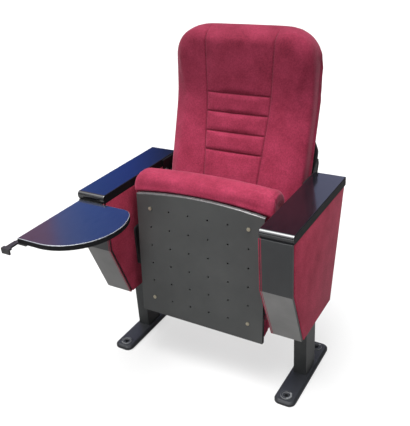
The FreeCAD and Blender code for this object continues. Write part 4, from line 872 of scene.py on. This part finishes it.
def make_floor():
    """A wide pale floor, lit paper white for the camera, with a faint soft shadow."""
    clear_selection()
    bpy.ops.mesh.primitive_plane_add(size=60, location=(0, 0, -0.0005))
    floor = bpy.context.active_object
    floor.name = "studio_floor"
    paper, tree, shader = new_finish("pale_floor")
    shader.inputs["Base Color"].default_value = (FLOOR_TONE, FLOOR_TONE, FLOOR_TONE, 1)
    shader.inputs["Roughness"].default_value = 0.9
    shader.inputs["Specular IOR Level"].default_value = 0.0
    glow = tree.nodes.new("ShaderNodeEmission")
    seen = tree.nodes.new("ShaderNodeLightPath")
    share = tree.nodes.new("ShaderNodeMath")
    share.operation = "MULTIPLY"
    share.inputs[1].default_value = FLOOR_GLOW
    tree.links.new(seen.outputs["Is Camera Ray"], share.inputs[0])
    tree.links.new(share.outputs["Value"], glow.inputs["Strength"])
    both = tree.nodes.new("ShaderNodeAddShader")
    tree.links.new(shader.outputs["BSDF"], both.inputs[0])
    tree.links.new(glow.outputs["Emission"], both.inputs[1])
    tree.links.new(both.outputs["Shader"], tree.nodes["Material Output"].inputs["Surface"])
    floor.data.materials.append(paper)
    apply_place(floor)


def make_reflection_card():
    """A wide coloured card behind the chair that shows only in the polished tops."""
    left = CARD_PLACE[0] - CARD_SIZE[0] / 2
    clear_selection()
    bpy.ops.mesh.primitive_plane_add(size=1, location=CARD_PLACE, rotation=(math.radians(90), 0, 0))
    card = bpy.context.active_object
    card.name = "reflection_card"
    card.scale = (*CARD_SIZE, 1)
    apply_place(card)
    glow, tree, shader = new_finish("reflection_card_glow")
    shader.inputs["Base Color"].default_value = (0, 0, 0, 1)
    place = tree.nodes.new("ShaderNodeTexCoord")
    parts = tree.nodes.new("ShaderNodeSeparateXYZ")
    across = tree.nodes.new("ShaderNodeMapRange")
    across.inputs["From Min"].default_value = left
    across.inputs["From Max"].default_value = left + CARD_SIZE[0]
    tree.links.new(place.outputs["Object"], parts.inputs["Vector"])
    tree.links.new(parts.outputs["X"], across.inputs["Value"])
    stops = ((-4.9, (0.80, 0.30, 0.38)), (-4.0, (0.74, 0.31, 0.42)), (-3.8, (0.30, 0.42, 1.05)),
             (-3.3, (0.09, 0.27, 1.08)), (-2.7, (0.03, 0.14, 0.90)), (-2.2, (0.00, 0.03, 0.18)),
             (-1.1, (0.01, 0.01, 0.02)), (-0.8, (0.50, 0.54, 0.86)), (-0.1, (0.56, 0.60, 0.90)))
    shares = tuple(((x - left) / CARD_SIZE[0], tone) for x, tone in stops)
    colour = ramp(tree, across.outputs["Result"], shares)
    tree.links.new(colour, shader.inputs["Emission Color"])
    shader.inputs["Emission Strength"].default_value = 1.0
    card.data.materials.append(glow)
    card.visible_camera = False
    card.visible_diffuse = False
    card.visible_shadow = False


def add_lamp(name, place, target, size, energy):
    data = bpy.data.lights.new(name, "AREA")
    data.shape = "RECTANGLE"
    data.size, data.size_y = size
    data.energy = energy
    light = bpy.data.objects.new(name, data)
    light.location = place
    light.rotation_euler = (Vector(target) - Vector(place)).to_track_quat("-Z", "Y").to_euler()
    bpy.context.scene.collection.objects.link(light)


def light_studio():
    """A sky that is bright overhead and dim at the horizon, and the weak lamps in front."""
    world = bpy.data.worlds.new("studio_world")
    bpy.context.scene.world = world
    world.use_nodes = True
    tree = world.node_tree
    sky = tree.nodes["Background"]
    direction = tree.nodes.new("ShaderNodeTexCoord")
    toward = tree.nodes.new("ShaderNodeVectorMath")
    toward.operation = "DOT_PRODUCT"
    toward.inputs[1].default_value = SKY_AIM
    tree.links.new(direction.outputs["Generated"], toward.inputs[0])
    strength = toward.outputs["Value"]
    steps = (("MAXIMUM", 0.0), ("POWER", SKY_FOCUS), ("MULTIPLY", SKY_TOP), ("ADD", SKY_HORIZON))
    for step, number in steps:
        sum_node = tree.nodes.new("ShaderNodeMath")
        sum_node.operation = step
        sum_node.inputs[1].default_value = number
        tree.links.new(strength, sum_node.inputs[0])
        strength = sum_node.outputs["Value"]
    tree.links.new(strength, sky.inputs["Strength"])
    sky.inputs["Color"].default_value = (1, 1, 1, 1)
    backdrop = tree.nodes.new("ShaderNodeBackground")
    seen = tree.nodes.new("ShaderNodeLightPath")
    choice = tree.nodes.new("ShaderNodeMixShader")
    tree.links.new(seen.outputs["Is Camera Ray"], choice.inputs["Fac"])
    tree.links.new(sky.outputs["Background"], choice.inputs[1])
    tree.links.new(backdrop.outputs["Background"], choice.inputs[2])
    tree.links.new(choice.outputs["Shader"], tree.nodes["World Output"].inputs["Surface"])
    backdrop.inputs["Color"].default_value = (1, 1, 1, 1)
    for lamp in LAMPS:
        add_lamp(*lamp)


def set_camera():
    """The camera that was fitted to the photograph's straight edges."""
    yaw, pitch, roll = (math.radians(angle) for angle in CAMERA_ANGLES)
    forward = Vector((-math.sin(yaw) * math.cos(pitch), math.cos(yaw) * math.cos(pitch), -math.sin(pitch)))
    right = Vector((math.cos(yaw), math.sin(yaw), 0))
    up = right.cross(forward)
    across = right * math.cos(roll) + up * math.sin(roll)
    rise = -right * math.sin(roll) + up * math.cos(roll)
    data = bpy.data.cameras.new("photo_camera")
    data.sensor_width = 36
    data.lens = CAMERA_LENS
    data.clip_end = 200
    camera = bpy.data.objects.new("photo_camera", data)
    turn = Matrix((across, rise, -forward)).transposed().to_4x4()
    camera.matrix_world = Matrix.Translation(CAMERA_PLACE) @ turn
    bpy.context.scene.collection.objects.link(camera)
    bpy.context.scene.camera = camera


set_camera()
light_studio()
make_floor()
make_reflection_card()
dress_cad_nodes()
for side, sign in SIDES.items():
    for face in ("outer", "inner"):
        make_side_panel(side, face)
    for bead, step in (("inner", -WELT_RADIUS), ("second", WELT_PITCH - WELT_RADIUS)):
        make_welt(f"{side}_{bead}_welt", side, sign, step)
    make_fascia(side)
    make_armrest(side)
    make_bevelled(side + "_rear_cover", BOARD_EDGE, FASCIA_LAMINATE, "stand", "black_laminate")
    make_bevelled(side + "_post", POST_CORNER, POST_PAINT, "stand", "painted_steel", 3)
    make_foot(side, sign)
    make_bevelled(side + "_back_bracket", THIN_EDGE, DULL_BRACKET, "stand", "painted_steel")
make_bevelled("back_shell", SHELL_EDGE, SHELL_PLASTIC, "stand", "black_laminate", 3)
make_seat_panel()
make_tablet_board()
make_bevelled("tablet_arm", THIN_EDGE, BRACKET_PAINT, "tablet", "painted_steel")
make_seat_cushion()
back = make_back_cushion()
make_back_stitching(back)

bpy.context.scene.view_settings.view_transform = "Standard"
